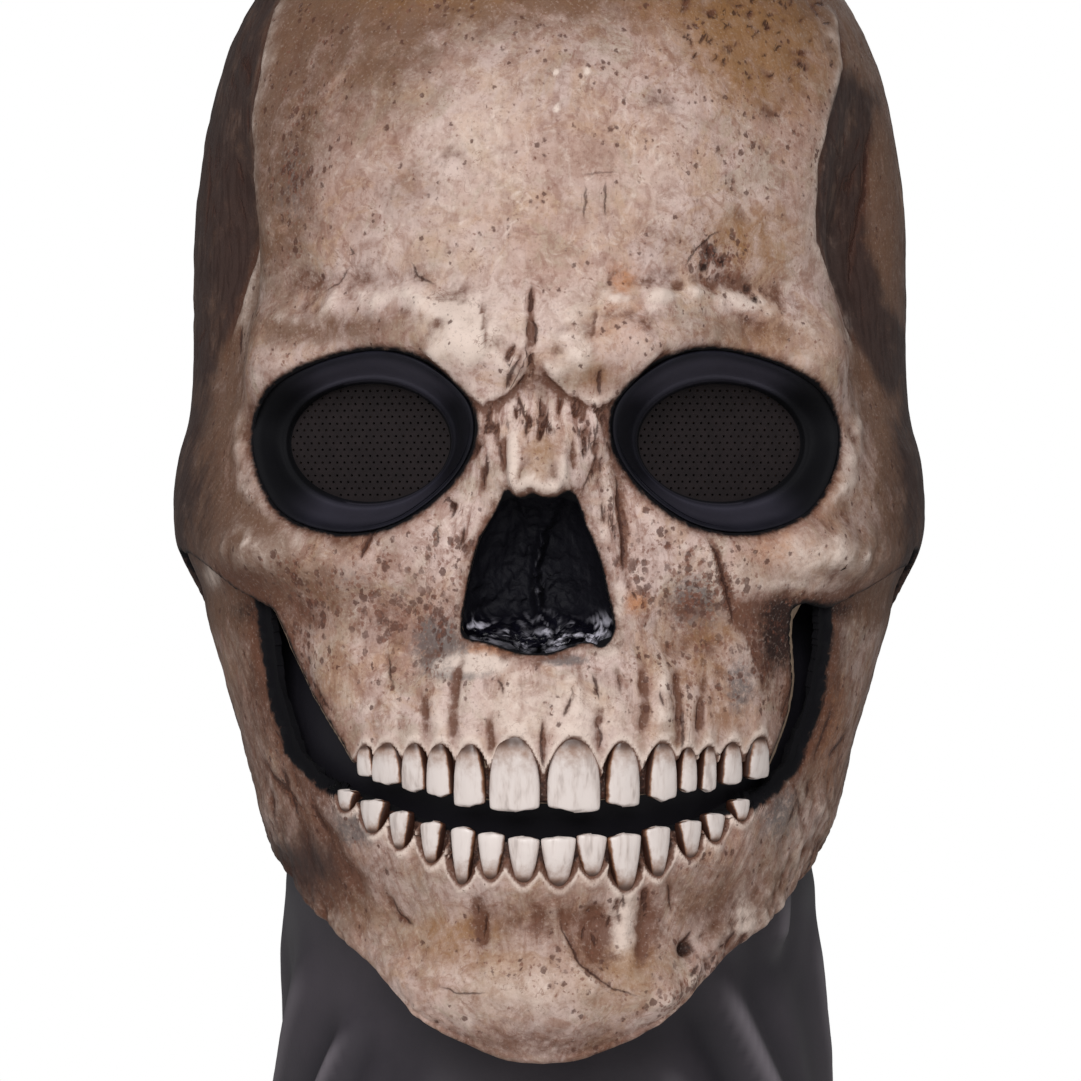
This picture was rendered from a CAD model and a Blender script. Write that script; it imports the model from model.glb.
import math
import random

import bpy
import numpy as np
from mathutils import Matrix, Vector, noise


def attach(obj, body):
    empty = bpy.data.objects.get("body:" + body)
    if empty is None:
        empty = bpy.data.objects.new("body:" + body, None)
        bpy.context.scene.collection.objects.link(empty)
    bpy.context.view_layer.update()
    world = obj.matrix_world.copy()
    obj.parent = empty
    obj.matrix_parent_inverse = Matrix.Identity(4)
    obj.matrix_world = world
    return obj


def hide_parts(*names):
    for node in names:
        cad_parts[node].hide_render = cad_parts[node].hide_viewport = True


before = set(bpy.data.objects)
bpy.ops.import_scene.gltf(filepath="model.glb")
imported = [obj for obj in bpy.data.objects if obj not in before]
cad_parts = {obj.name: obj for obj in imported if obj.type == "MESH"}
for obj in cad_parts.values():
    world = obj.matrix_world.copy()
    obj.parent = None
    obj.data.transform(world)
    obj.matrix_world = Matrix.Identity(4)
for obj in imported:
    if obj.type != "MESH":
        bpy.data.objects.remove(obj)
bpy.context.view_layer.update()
print("frame loaded:", len(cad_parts), "nodes")

mm = 0.001

# Places are in millimetres: side to the viewer's right, down below the inside of the crown, depth away.
# The head, section by section: down, depth of its widest place, half width, front and back.
headForm = {
    "sections": (
        (-3.0, 0.0, 0.0, 0.0, 0.0),
        (8.0, 0.0, 46.5, -50.0, 50.0),
        (20.0, 1.0, 65.2, -72.0, 72.0),
        (37.0, 2.0, 82.0, -90.0, 91.0),
        (53.0, 4.0, 90.5, -100.0, 103.0),
        (70.0, 5.0, 95.6, -107.0, 110.0),
        (92.0, 6.0, 99.1, -112.0, 115.0),
        (120.0, 6.0, 99.9, -115.0, 115.0),
        (142.0, 3.0, 99.6, -116.0, 110.0),
        (154.0, 0.0, 100.3, -115.0, 105.0),
        (165.0, -3.0, 102.9, -114.0, 100.0),
        (176.0, -6.0, 103.9, -113.0, 94.0),
        (187.0, -9.0, 103.0, -113.0, 88.0),
        (203.0, -12.0, 96.2, -114.0, 80.0),
        (214.0, -14.0, 92.2, -116.0, 75.0),
        (236.0, -17.0, 86.0, -118.0, 66.0),
        (257.0, -20.0, 79.7, -118.0, 60.0),
        (268.0, -22.0, 76.5, -117.0, 56.0),
        (285.0, -26.0, 71.0, -115.0, 50.0),
        (305.0, -32.0, 63.0, -117.0, 40.0),
        (322.0, -36.0, 52.0, -110.0, 30.0),
        (334.0, -38.0, 46.0, -106.0, 26.0),
    ),
    # name, side, down, half side, half down, rise; each lies on both sides of the midline
    "relief": (
        ("forehead boss", 34.0, 85.0, 24.0, 24.0, 1.5),
        ("temple hollow", 87.0, 110.0, 8.5, 36.0, -11.0),
        ("groove over the brow", 50.0, 121.0, 16.0, 6.0, -2.5),
        ("brow at the midline", 0.0, 135.0, 20.0, 10.0, 4.0),
        ("inner brow", 28.0, 133.0, 16.0, 8.0, 4.5),
        ("outer brow", 72.0, 140.0, 11.0, 13.0, 6.0),
        ("root of the nose", 0.0, 149.0, 9.0, 6.0, -4.5),
        ("bridge of the nose", 0.0, 169.0, 9.0, 12.0, 7.5),
        ("flank of the nose", 23.0, 168.0, 6.0, 14.0, -3.0),
        ("cheekbone", 74.0, 190.0, 12.0, 9.0, 6.5),
        ("below the eye", 54.0, 196.0, 14.0, 9.0, 2.5),
        ("hollow beside the nose", 37.0, 211.0, 12.0, 13.0, -5.5),
        ("cheek beside the mouth", 66.0, 228.0, 6.0, 18.0, -3.0),
        ("upper jaw", 0.0, 238.0, 40.0, 15.0, 3.5),
        ("lower gum", 0.0, 268.0, 38.0, 12.0, 2.0),
        ("hollow over the chin", 0.0, 288.0, 34.0, 8.0, -3.0),
        ("chin", 0.0, 307.0, 24.0, 12.0, 3.0),
        ("corner of the chin", 30.0, 306.0, 10.0, 10.0, 3.0),
    ),
}


def smooth(xs, ys, x):
    # Cubic curve through the points of a table.
    slopes = np.gradient(ys, xs)
    i = np.clip(np.searchsorted(xs, x) - 1, 0, len(xs) - 2)
    step = xs[i + 1] - xs[i]
    t = np.clip((x - xs[i]) / step, 0.0, 1.0)
    start = ys[i] * (1 + 2 * t) + slopes[i] * step * t
    end = ys[i + 1] * (3 - 2 * t) - slopes[i + 1] * step * (1 - t)
    return start * (1 - t) ** 2 + end * t**2


def softStep(value, low, high):
    t = np.clip((value - low) / (high - low), 0.0, 1.0)
    return t * t * (3 - 2 * t)


def sectionAt(sections, down):
    # Middle, half width and the distances to the front and back. Their squares are smoothed.
    downs, middles, widths, fronts, backs = np.array(sections).T
    parts = (widths, middles - fronts, backs - middles)
    reach = [np.sqrt(np.maximum(smooth(downs, part**2, down), 0.0)) for part in parts]
    return smooth(downs, middles, down), *reach


def reliefAt(side, down):
    total = np.zeros(np.shape(side))
    for _, atSide, atDown, halfSide, halfDown, rise in headForm["relief"]:
        across = (np.abs(side) - atSide) / halfSide
        along = (down - atDown) / halfDown
        total = total + rise * np.exp(-(across**2) - along**2)
    return total


def headPoint(turn, down, sections=headForm["sections"], withRelief=True):
    # Surface points at a turn from the face, in radians, and a distance down.
    middle, width, front, back = sectionAt(sections, down)
    reach = np.where(np.cos(turn) > 0, front, back)
    side = width * np.sin(turn)
    depth = middle - reach * np.cos(turn)
    if withRelief:
        outSide = np.sin(turn) * reach
        outDepth = -np.cos(turn) * width
        length = np.maximum(np.hypot(outSide, outDepth), 1e-6)
        facing = np.clip(np.cos(turn) * 4.0 + 0.6, 0.0, 1.0)
        rise = reliefAt(side, down) * facing
        side = side + rise * outSide / length
        depth = depth + rise * outDepth / length
    return np.stack([side, depth, -np.broadcast_to(down, np.shape(side))], axis=-1)


def facePoint(side, down):
    # The surface point seen at this place from the front.
    width = sectionAt(headForm["sections"], down)[1]
    return headPoint(np.arcsin(np.clip(side / width, -1.0, 1.0)), down)


def closedCurve(points, count):
    # Points on a smooth closed curve through the given ones.
    points = np.array(points)
    wrapped = np.concatenate([points[-3:], points, points[:3]])
    steps = np.arange(len(wrapped)) - 3.0
    at = np.arange(count) * len(points) / count
    return np.stack([smooth(steps, wrapped[:, k], at) for k in range(2)], axis=-1)


def grown(outline, by):
    # The outline moved outwards, or inwards where negative.
    ahead = np.roll(outline, -1, axis=0) - np.roll(outline, 1, axis=0)
    outward = np.stack([-ahead[:, 1], ahead[:, 0]], axis=-1)
    outward /= np.linalg.norm(outward, axis=1)[:, None]
    if (outward * (outline - outline.mean(axis=0))).sum() < 0:
        outward = -outward
    return outline + outward * by


def alongLine(side, down, points, closed=False):
    # Distance to a line of points, offset (positive on the left hand of one who walks it), share of length
    # walked, and the nearest place on it.
    points = np.array(points, dtype=float)
    if closed:
        points = np.concatenate([points, points[:1]])
    steps = np.linalg.norm(np.diff(points, axis=0), axis=1)
    walked = np.concatenate([[0.0], np.cumsum(steps)]) / steps.sum()
    best = np.full(np.shape(side), 1e9)
    offset = np.zeros(np.shape(side))
    share = np.zeros(np.shape(side))
    nearSide = np.zeros(np.shape(side))
    nearDown = np.zeros(np.shape(side))
    for i, step in enumerate(steps):
        along = (points[i + 1] - points[i]) / step
        fromSide = side - points[i, 0]
        fromDown = down - points[i, 1]
        t = np.clip(fromSide * along[0] + fromDown * along[1], 0.0, step)
        gap = np.hypot(fromSide - t * along[0], fromDown - t * along[1])
        closer = gap < best
        best = np.where(closer, gap, best)
        offset = np.where(closer, fromSide * along[1] - fromDown * along[0], offset)
        share = np.where(closer, walked[i] + (walked[i + 1] - walked[i]) * t / step, share)
        nearSide = np.where(closer, points[i, 0] + t * along[0], nearSide)
        nearDown = np.where(closer, points[i, 1] + t * along[1], nearDown)
    return best, offset, share, nearSide, nearDown


def insideOutline(side, down, outline):
    inside = np.zeros(np.shape(side), dtype=bool)
    for (sideA, downA), (sideB, downB) in zip(outline, np.roll(outline, -1, axis=0)):
        if downA == downB:
            continue
        crosses = (down < downA) != (down < downB)
        reach = (sideB - sideA) * (down - downA) / (downB - downA) + sideA
        inside ^= crosses & (side < reach)
    return inside


def fractal(points, size, octaves, seed):
    # Uneven lumps of this size in millimetres, about -1 to 1.
    flat = points.reshape(-1, 3) / size + seed * 17.3
    values = [noise.fractal(Vector(place), 1.0, 2.1, octaves) for place in flat]
    return np.array(values).reshape(points.shape[:-1])


def blurred(field, passes, closed):
    for _ in range(passes):
        field = (np.roll(field, 1, 1) + np.roll(field, -1, 1) + 2 * field) / 4 if closed else field
        if not closed:
            wide = np.pad(field, ((0, 0), (1, 1)), mode="edge")
            field = (wide[:, 2:] + wide[:, :-2] + 2 * field) / 4
        tall = np.pad(field, ((1, 1), (0, 0)), mode="edge")
        field = (tall[2:] + tall[:-2] + 2 * field) / 4
    return field


def normalsOf(points, closed):
    # Outward directions of a sheet whose rows run down and whose columns run to the viewer's right.
    if closed:
        across = np.roll(points, -1, axis=1) - np.roll(points, 1, axis=1)
    else:
        across = np.gradient(points, axis=1)
    along = np.gradient(points, axis=0)
    normal = np.cross(along, across)
    return normal / np.maximum(np.linalg.norm(normal, axis=-1), 1e-9)[..., None]


# Colours and materials

def fromHex(text):
    # An sRGB hex colour as linear values.
    values = [int(text[i : i + 2], 16) / 255 for i in (1, 3, 5)]
    return [v / 12.92 if v <= 0.04045 else ((v + 0.055) / 1.055) ** 2.4 for v in values] + [1.0]


def addNode(material, kind, settings=None, links=None, out=0):
    # Adds a node with its settings and gives one output. A link is a value or another node's output.
    made = material.node_tree.nodes.new("ShaderNode" + kind)
    for name, value in (settings or {}).items():
        setattr(made, name, value)
    for socket, value in (links or {}).items():
        if isinstance(value, bpy.types.NodeSocket):
            material.node_tree.links.new(value, made.inputs[socket])
        else:
            made.inputs[socket].default_value = value
    return made.outputs[out]


def newMaterial(name):
    made = bpy.data.materials.new(name)
    made.use_nodes = True
    made.node_tree.nodes.remove(made.node_tree.nodes["Principled BSDF"])
    return made


def finishMaterial(material, settings):
    shader = addNode(material, "BsdfPrincipled", links=settings)
    out = material.node_tree.nodes["Material Output"]
    material.node_tree.links.new(shader, out.inputs[0])
    return material


# Settings that many nodes share
softRange = {"interpolation_type": "SMOOTHSTEP"}
colourMix = {"data_type": "RGBA"}
product = {"operation": "MULTIPLY"}
total = {"operation": "ADD"}
difference = {"operation": "SUBTRACT"}
productAndSum = {"operation": "MULTIPLY_ADD"}
magnitude = {"operation": "ABSOLUTE"}


def brushed(material, look, colour, paint, pattern, low, high, most=1.0):
    # A coat of paint over the colour, fuller as the pattern passes from low to high.
    links = {"Value": pattern, "From Min": low, "From Max": high}
    share = addNode(material, "MapRange", softRange, links)
    share = addNode(material, "Math", product, {0: share, 1: most})
    return addNode(material, "Mix", colourMix, {0: share, 6: colour, 7: fromHex(look[paint])}, 2)


# What the sculpting leaves for the paint to follow, a share at every point
paintFields = (
    "tone", "wash", "deepWash", "pale", "ochre", "orange", "grey", "soot", "black", "pores", "streak",
)

bonePaint = {
    "pale": "#d4bbb3",
    "warm": "#bb998b",
    "olive": "#a3937b",
    "tan": "#ba916e",
    "mottle": "#93695a",
    "highlight": "#e7d3c7",
    "fleck": "#7b5040",
    "speck": "#55342a",
    "tone": "#70503c",
    "wash": "#653f2e",
    "deepWash": "#2f1c17",
    "ochre": "#93693f",
    "orange": "#b8794c",
    "grey": "#6b6463",
    "soot": "#43322e",
    "black": "#07060b",
    "crack": "#3b2019",
    "fibreSize": 1.7,  # mm
    "grainSize": 0.8,
    "roughness": 0.54,
    "specular": 0.25,
    "ior": 1.5,
    # paint, size in mm, detail, roughness, distortion, shift, then the pattern's range and the most paint
    "clouds": (
        ("pale", 30.0, 4, 0.6, 0.0, 0.0, 0.36, 0.58, 1.0),
        ("olive", 17.0, 6, 0.66, 0.9, 0.13, 0.47, 0.64, 0.5),
        ("tan", 15.0, 7, 0.68, 1.0, 0.77, 0.47, 0.64, 0.5),
        ("highlight", 8.0, 9, 0.72, 1.6, 0.41, 0.52, 0.66, 0.55),
        ("mottle", 13.0, 5, 0.6, 1.8, 0.66, 0.5, 0.66, 0.4),
        ("mottle", 5.0, 8, 0.68, 0.9, 0.0, 0.49, 0.62, 0.55),
        ("mottle", 2.5, 6, 0.7, 0.6, 0.31, 0.53, 0.66, 0.5),
    ),
    # paint, the field that it follows, size in mm of its broken edge, softness, most paint
    "washes": (
        ("tone", "tone", 9.0, 0.5, 0.9),
        ("ochre", "ochre", 5.0, 0.5, 0.85),
        ("orange", "orange", 3.5, 0.5, 0.85),
        ("grey", "grey", 1.8, 0.3, 0.85),
        ("highlight", "pale", 3.0, 0.5, 0.9),
        ("wash", "wash", 2.2, 0.5, 0.9),
        ("deepWash", "deepWash", 1.4, 0.45, 1.0),
    ),
    # paint, size in mm, share of cells above the usual, stretch upwards, shift, most paint
    "spatter": (
        ("fleck", 3.0, -0.1, 0.55, 0.0, 0.32),
        ("speck", 1.9, 0.08, 0.8, 0.37, 0.8),
        ("fleck", 1.14, 0.02, 0.8, 0.71, 0.7),
    ),
}


def paintedLatexMaterial():
    # Moulded latex, hand painted: a pinkish coat, brown washes wiped into the hollows and along the fibres
    # of the bone, dry-brushed ridges and spattered specks: a matt, mottled bone with thin dark lines.
    look = bonePaint
    made = newMaterial("hand_painted_moulded_latex")
    place = addNode(made, "TexCoord", out="Object")
    names = (*paintFields, "crackOffset", "crackWidth", "flowSide", "flowDown")
    painted = {name: addNode(made, "Attribute", {"attribute_name": name}, out="Fac") for name in names}

    def clouded(size, detail, roughness, distortion=0.0, shift=0.0, vector=place):
        # A cloudy pattern with a size in millimetres, moved off the others by its shift.
        moved = addNode(made, "Mapping", links={"Vector": vector, "Location": (shift, shift, shift)})
        links = {"Vector": moved, "Scale": 1 / (size * mm), "Detail": detail}
        return addNode(made, "TexNoise", links=links | {"Roughness": roughness, "Distortion": distortion})

    def washed(colour, paint, field, size, softness, most):
        # A wash over a field, broken up at its edges by a pattern of its own.
        broken = addNode(made, "Math", productAndSum, {0: clouded(size, 7, 0.7, 0.5), 1: 2.6, 2: -0.3})
        share = addNode(made, "Math", product, {0: painted[field], 1: broken})
        return brushed(made, look, colour, paint, share, 0.5 - softness, 0.5 + softness, most)

    links = {"Vector": place, "Scale": 1 / (0.9 * mm), "Detail": 3.0}
    shake = addNode(made, "TexNoise", links=links, out="Color")
    centred = addNode(made, "VectorMath", difference, {0: shake, 1: (0.5, 0.5, 0.5)})
    moved = addNode(made, "VectorMath", {"operation": "SCALE"}, {0: centred, "Scale": 1.5 * mm})
    shaken = addNode(made, "VectorMath", total, {0: place, 1: moved})
    along = addNode(made, "CombineXYZ", links={0: painted["flowSide"], 1: painted["flowDown"]})
    fibres = clouded(look["fibreSize"], 6, 0.62, 0.35, 0.0, along)
    grain = clouded(look["grainSize"], 2, 0.5)
    density = clouded(11.0, 4, 0.65, 0.4, 0.57)

    colour = fromHex(look["warm"])
    clouds = []
    for paint, size, detail, roughness, distortion, shift, low, high, most in look["clouds"]:
        clouds.append(clouded(size, detail, roughness, distortion, shift))
        colour = brushed(made, look, colour, paint, clouds[-1], low, high, most)
    mottles, flakes = clouds[-2:]
    for paint, low, high, most in (("fleck", 0.5, 0.66, 0.85), ("highlight", 0.47, 0.33, 0.55)):
        most = addNode(made, "Math", product, {0: painted["streak"], 1: most})
        colour = brushed(made, look, colour, paint, fibres, low, high, most)
    for row in look["washes"]:
        colour = washed(colour, *row)

    # Squiggles along the level lines of a pattern
    bent = addNode(made, "Math", difference, {0: clouded(7.0, 4, 0.6, 0.9, 0.9), 1: 0.5})
    bent = addNode(made, "Math", magnitude, {0: bent})
    links = {"Value": clouded(6.0, 3, 0.5, 0.0, 0.2), "From Min": 0.52, "From Max": 0.62, "To Max": 0.5}
    most = addNode(made, "MapRange", softRange, links)
    colour = brushed(made, look, colour, "fleck", bent, 0.012, 0.002, most)

    # Spatter: a dot in some of the cells, larger where a cell's own number is higher
    links = {"Value": density, "From Min": 0.4, "From Max": 0.62, "To Max": 0.26}
    often = addNode(made, "MapRange", softRange, links)
    often = addNode(made, "Math", total, {0: often, 1: painted["pores"]})
    links = {"Value": density, "From Min": 0.3, "From Max": 0.6, "To Min": 0.4}
    faint = addNode(made, "MapRange", softRange, links)
    dots = []
    for paint, size, more, stretch, shift, most in look["spatter"]:
        links = {"Vector": shaken, "Scale": (1, 1, stretch), "Location": (shift, shift, shift)}
        moved = addNode(made, "Mapping", links=links)
        gap = addNode(made, "TexVoronoi", links={"Vector": moved, "Scale": 1 / (size * mm)}, out="Distance")
        number = addNode(made, "SeparateColor", links={0: gap.node.outputs["Color"]})
        radius = addNode(made, "Math", total, {0: number, 1: often})
        radius = addNode(made, "Math", total, {0: radius, 1: more - 1.0})
        gap = addNode(made, "Math", difference, {0: gap, 1: radius})
        dot = addNode(made, "MapRange", softRange, {"Value": gap, "From Min": 0.12, "From Max": -0.12})
        dots.append(addNode(made, "Math", product, {0: dot, 1: faint}))
        share = addNode(made, "Math", product, {0: dots[-1], 1: most})
        colour = addNode(made, "Mix", colourMix, {0: share, 6: colour, 7: fromHex(look[paint])}, 2)
    flecks, specks = dots[:2]
    for paint, low, high, most in (("highlight", 0.56, 0.75, 0.18), ("speck", 0.44, 0.25, 0.24)):
        colour = brushed(made, look, colour, paint, grain, low, high, most)

    colour = washed(colour, "soot", "soot", 12.0, 0.5, 0.95)
    most = addNode(made, "Math", product, {0: painted["soot"], 1: 0.55})
    colour = brushed(made, look, colour, "deepWash", fibres, 0.46, 0.62, most)

    # Cracks wander off their lines and vary in width, each in a soft shadow
    off = painted["crackOffset"]
    for size, detail, roughness, reach in ((3.2, 4, 0.6, 1.7), (0.9, 2, 0.5, 0.5)):
        off = addNode(made, "Math", productAndSum, {0: clouded(size, detail, roughness), 1: reach, 2: off})
        off = addNode(made, "Math", difference, {0: off, 1: reach / 2})
    off = addNode(made, "Math", magnitude, {0: off})
    wide = painted["crackWidth"]
    broken = addNode(made, "Math", productAndSum, {0: clouded(2.4, 4, 0.65, 0.0, 0.6), 1: 3.0, 2: -0.75})
    thin = addNode(made, "Math", product, {0: wide, 1: broken})
    gap = addNode(made, "Math", difference, {0: off, 1: thin})
    for paint, low, high, full, most in (("wash", 1.3, 0.0, 0.4, 0.32), ("crack", 0.3, -0.2, 0.25, 0.75)):
        links = {"Value": wide, "From Min": 0.04, "From Max": full, "To Max": most}
        most = addNode(made, "MapRange", softRange, links)
        colour = brushed(made, look, colour, paint, gap, low, high, most)
    colour = washed(colour, "black", "black", 3.0, 0.45, 1.0)

    # Relief too fine for the mesh; the black places are smooth
    crack = addNode(made, "MapRange", softRange, {"Value": gap, "From Min": 0.3, "From Max": -0.2})
    present = addNode(made, "MapRange", softRange, {"Value": wide, "From Min": 0.04, "From Max": 0.25})
    crack = addNode(made, "Math", product, {0: crack, 1: present})
    raised = addNode(made, "Math", difference, {0: 0.5, 1: fibres})
    raised = addNode(made, "Math", product, {0: raised, 1: painted["streak"]})
    reliefs = ((mottles, 0.45), (flakes, 0.45), (raised, 1.1), (specks, -0.3), (flecks, -0.15), (crack, -0.8))
    height = 0.0
    for pattern, rise in reliefs:
        height = addNode(made, "Math", productAndSum, {0: pattern, 1: rise, 2: height})
    bare = addNode(made, "MapRange", softRange, {"Value": painted["black"], "From Min": 1.0, "From Max": 0.0})
    height = addNode(made, "Math", product, {0: height, 1: bare})
    bump = addNode(made, "Bump", links={"Strength": 0.6, "Distance": 0.9 * mm, "Height": height})
    links = {"Value": mottles, "From Min": 0.3, "From Max": 0.7}
    links |= {"To Min": look["roughness"] - 0.07, "To Max": look["roughness"] + 0.12}
    roughness = addNode(made, "MapRange", softRange, links)
    roughness = addNode(made, "Math", productAndSum, {0: painted["black"], 1: 0.3, 2: roughness})
    settings = {"Base Color": colour, "Roughness": roughness, "Normal": bump, "IOR": look["ior"]}
    return finishMaterial(made, settings | {"Specular IOR Level": look["specular"]})


toothPaint = {
    "enamel": "#e6dad5",
    "shade": "#cdbdb6",
    "stain": "#8d6247",
    "deepStain": "#3a2118",
    "greyStain": "#8f8684",
    "roughness": 0.34,
    "ior": 1.5,
    "streakSize": 2.4,  # mm
    "mottleSize": 2.5,
}


def paintedToothMaterial():
    # The same latex under a smooth ivory paint with a satin varnish, stained brown at the gum and the flanks.
    look = toothPaint
    made = newMaterial("satin_painted_tooth")
    place = addNode(made, "TexCoord", out="Object")
    upright = addNode(made, "Mapping", links={"Vector": place, "Scale": (1, 1, 0.14)})
    patterns = []
    for vector, size, detail in ((upright, look["streakSize"], 3), (place, look["mottleSize"], 5)):
        links = {"Vector": vector, "Scale": 1 / (size * mm), "Detail": detail, "Roughness": 0.6}
        patterns.append(addNode(made, "TexNoise", links=links))
    streaks, mottle = patterns
    uneven = addNode(made, "Math", productAndSum, {0: mottle, 1: 0.9, 2: -0.45})
    gum = addNode(made, "Attribute", {"attribute_name": "gum"}, out="Fac")
    flank = addNode(made, "Attribute", {"attribute_name": "flank"}, out="Fac")
    gumEdge = addNode(made, "Math", total, {0: gum, 1: uneven})
    flankEdge = addNode(made, "Math", total, {0: flank, 1: uneven})
    coats = (
        ("shade", streaks, 0.45, 0.7, 0.8),
        ("greyStain", streaks, 0.57, 0.72, 0.3),
        ("stain", gumEdge, 0.3, 1.05, 0.9),
        ("stain", flankEdge, 0.35, 0.8, 1.0),
        ("deepStain", flankEdge, 0.7, 1.1, 1.0),
        ("deepStain", gum, 0.7, 0.95, 0.85),
    )
    colour = fromHex(look["enamel"])
    for paint, pattern, low, high, most in coats:
        colour = brushed(made, look, colour, paint, pattern, low, high, most)
    height = addNode(made, "Math", product, {0: streaks, 1: 0.25})
    height = addNode(made, "Math", productAndSum, {0: mottle, 1: 0.3, 2: height})
    bump = addNode(made, "Bump", links={"Strength": 0.3, "Distance": 0.4 * mm, "Height": height})
    links = {"Value": mottle, "From Min": 0.3, "From Max": 0.7}
    links |= {"To Min": look["roughness"] - 0.06, "To Max": look["roughness"] + 0.14}
    roughness = addNode(made, "MapRange", softRange, links)
    settings = {"Base Color": colour, "Roughness": roughness, "IOR": look["ior"], "Normal": bump}
    return finishMaterial(made, settings)


def blackLatexMaterial(name, look):
    # Pigmented latex: smooth from the mould, with a soft haze of talc and fine pimples. The shaded places are
    # airbrushed black and the lit ones are dusted.
    made = newMaterial(name)
    place = addNode(made, "TexCoord", out="Object")
    patterns = []
    for size, detail in ((look["hazeSize"], 5), (look["grainSize"], 3)):
        links = {"Vector": place, "Scale": 1 / (size * mm), "Detail": detail, "Roughness": 0.6}
        patterns.append(addNode(made, "TexNoise", links=links))
    haze, grain = patterns
    colour = brushed(made, look, fromHex(look["colour"]), "haze", haze, 0.35, 0.7)
    for field in ("lit", "shaded"):
        share = addNode(made, "Attribute", {"attribute_name": field}, out="Fac")
        colour = addNode(made, "Mix", colourMix, {0: share, 6: colour, 7: fromHex(look[field])}, 2)
    links = {"Strength": look["bump"], "Distance": look["depth"] * mm, "Height": grain}
    bump = addNode(made, "Bump", links=links)
    links = {"Value": haze, "From Min": 0.3, "From Max": 0.7}
    links |= {"To Min": look["roughness"] - look["spread"], "To Max": look["roughness"] + look["spread"]}
    roughness = addNode(made, "MapRange", softRange, links)
    links = {"Value": share, "To Min": roughness, "To Max": look["shadedRoughness"]}
    roughness = addNode(made, "MapRange", softRange, links)
    settings = {"Base Color": colour, "Roughness": roughness, "Normal": bump, "IOR": look["ior"]}
    return finishMaterial(made, settings | {"Specular IOR Level": look["specular"]})


blackFinishes = {
    "socket": {
        "colour": "#12111a",
        "haze": "#191823",
        "lit": "#54515e",
        "shaded": "#06060b",
        "hazeSize": 9.0,
        "grainSize": 0.7,
        "bump": 0.2,
        "depth": 0.2,
        "roughness": 0.62,
        "spread": 0.06,
        "shadedRoughness": 0.8,
        "specular": 0.22,
        "ior": 1.5,
    },
    "nose": {
        "colour": "#08070e",
        "haze": "#0f0e18",
        "lit": "#b9b6c2",
        "shaded": "#0b0a13",
        "hazeSize": 5.0,
        "grainSize": 1.6,
        "bump": 0.6,
        "depth": 0.8,
        "roughness": 0.2,
        "spread": 0.06,
        "shadedRoughness": 0.7,
        "specular": 0.22,
        "ior": 1.5,
    },
    "hood": {
        "colour": "#3f3a41",
        "haze": "#4a444b",
        "lit": "#7b747b",
        "shaded": "#1c1a21",
        "hazeSize": 30.0,
        "grainSize": 0.8,
        "bump": 0.2,
        "depth": 0.25,
        "roughness": 0.5,
        "spread": 0.06,
        "shadedRoughness": 0.6,
        "specular": 0.35,
        "ior": 1.5,
    },
    "screen": {
        "colour": "#241f20",
        "haze": "#2a2425",
        "lit": "#3a3436",
        "shaded": "#141112",
        "hazeSize": 3.0,
        "grainSize": 0.5,
        "bump": 0.25,
        "depth": 0.15,
        "roughness": 0.7,
        "spread": 0.08,
        "shadedRoughness": 0.8,
        "specular": 0.12,
        "ior": 1.46,
    },
    "inside": {
        "colour": "#9c8672",
        "haze": "#8a7563",
        "lit": "#b09a86",
        "shaded": "#4a3d33",
        "hazeSize": 18.0,
        "grainSize": 1.5,
        "bump": 0.4,
        "depth": 0.5,
        "roughness": 0.6,
        "spread": 0.06,
        "shadedRoughness": 0.7,
        "specular": 0.4,
        "ior": 1.5,
    },
}

# Making meshes

def nothingSelected():
    if bpy.context.mode != "OBJECT":
        bpy.ops.object.mode_set(mode="OBJECT")
    bpy.ops.object.select_all(action="DESELECT")


def setActive(obj):
    nothingSelected()
    obj.select_set(True)
    bpy.context.view_layer.objects.active = obj


def sheet(name, points, closed, towards=None):
    # A grid primitive whose rows and columns of points take these places. A closed one wraps round.
    rows, columns = points.shape[:2]
    if closed:
        points = np.concatenate([points, points[:, :1]], axis=1)
        columns += 1
    nothingSelected()
    bpy.ops.mesh.primitive_grid_add(x_subdivisions=columns - 1, y_subdivisions=rows - 1, size=2.0)
    made = bpy.context.object
    made.name = name
    made.data.name = name
    flat = np.empty(len(made.data.vertices) * 3)
    made.data.vertices.foreach_get("co", flat)
    flat = flat.reshape(-1, 3)
    column = np.rint((flat[:, 0] + 1) / 2 * (columns - 1)).astype(int)
    row = np.rint((1 - flat[:, 1]) / 2 * (rows - 1)).astype(int)
    placed = points[row, column] * mm
    made.data.vertices.foreach_set("co", placed.ravel())
    made.data.update()
    sample = np.empty(len(made.data.polygons) * 3)
    made.data.polygons.foreach_get("normal", sample)
    centres = np.empty(len(made.data.polygons) * 3)
    made.data.polygons.foreach_get("center", centres)
    sample = sample.reshape(-1, 3)
    centres = centres.reshape(-1, 3)
    if towards is None:
        outward = centres - centres.mean(axis=0)
    else:
        outward = np.broadcast_to(np.array(towards, dtype=float), centres.shape)
    if (sample * outward).sum() < 0:
        made.data.flip_normals()
    return made, row, column % (columns - 1) if closed else column


def addFields(obj, row, column, fields):
    for name, field in fields.items():
        attribute = obj.data.attributes.new(name, "FLOAT", "POINT")
        attribute.data.foreach_set("value", field[row, column].astype(np.float32))


def removeVertices(obj, unwanted):
    # Deletes every face that has an unwanted vertex.
    setActive(obj)
    bpy.ops.object.mode_set(mode="EDIT")
    bpy.ops.mesh.select_mode(type="VERT")
    bpy.ops.mesh.select_all(action="DESELECT")
    bpy.ops.object.mode_set(mode="OBJECT")
    obj.data.vertices.foreach_set("select", unwanted)
    bpy.ops.object.mode_set(mode="EDIT")
    bpy.ops.mesh.delete(type="VERT")
    bpy.ops.object.mode_set(mode="OBJECT")


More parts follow.
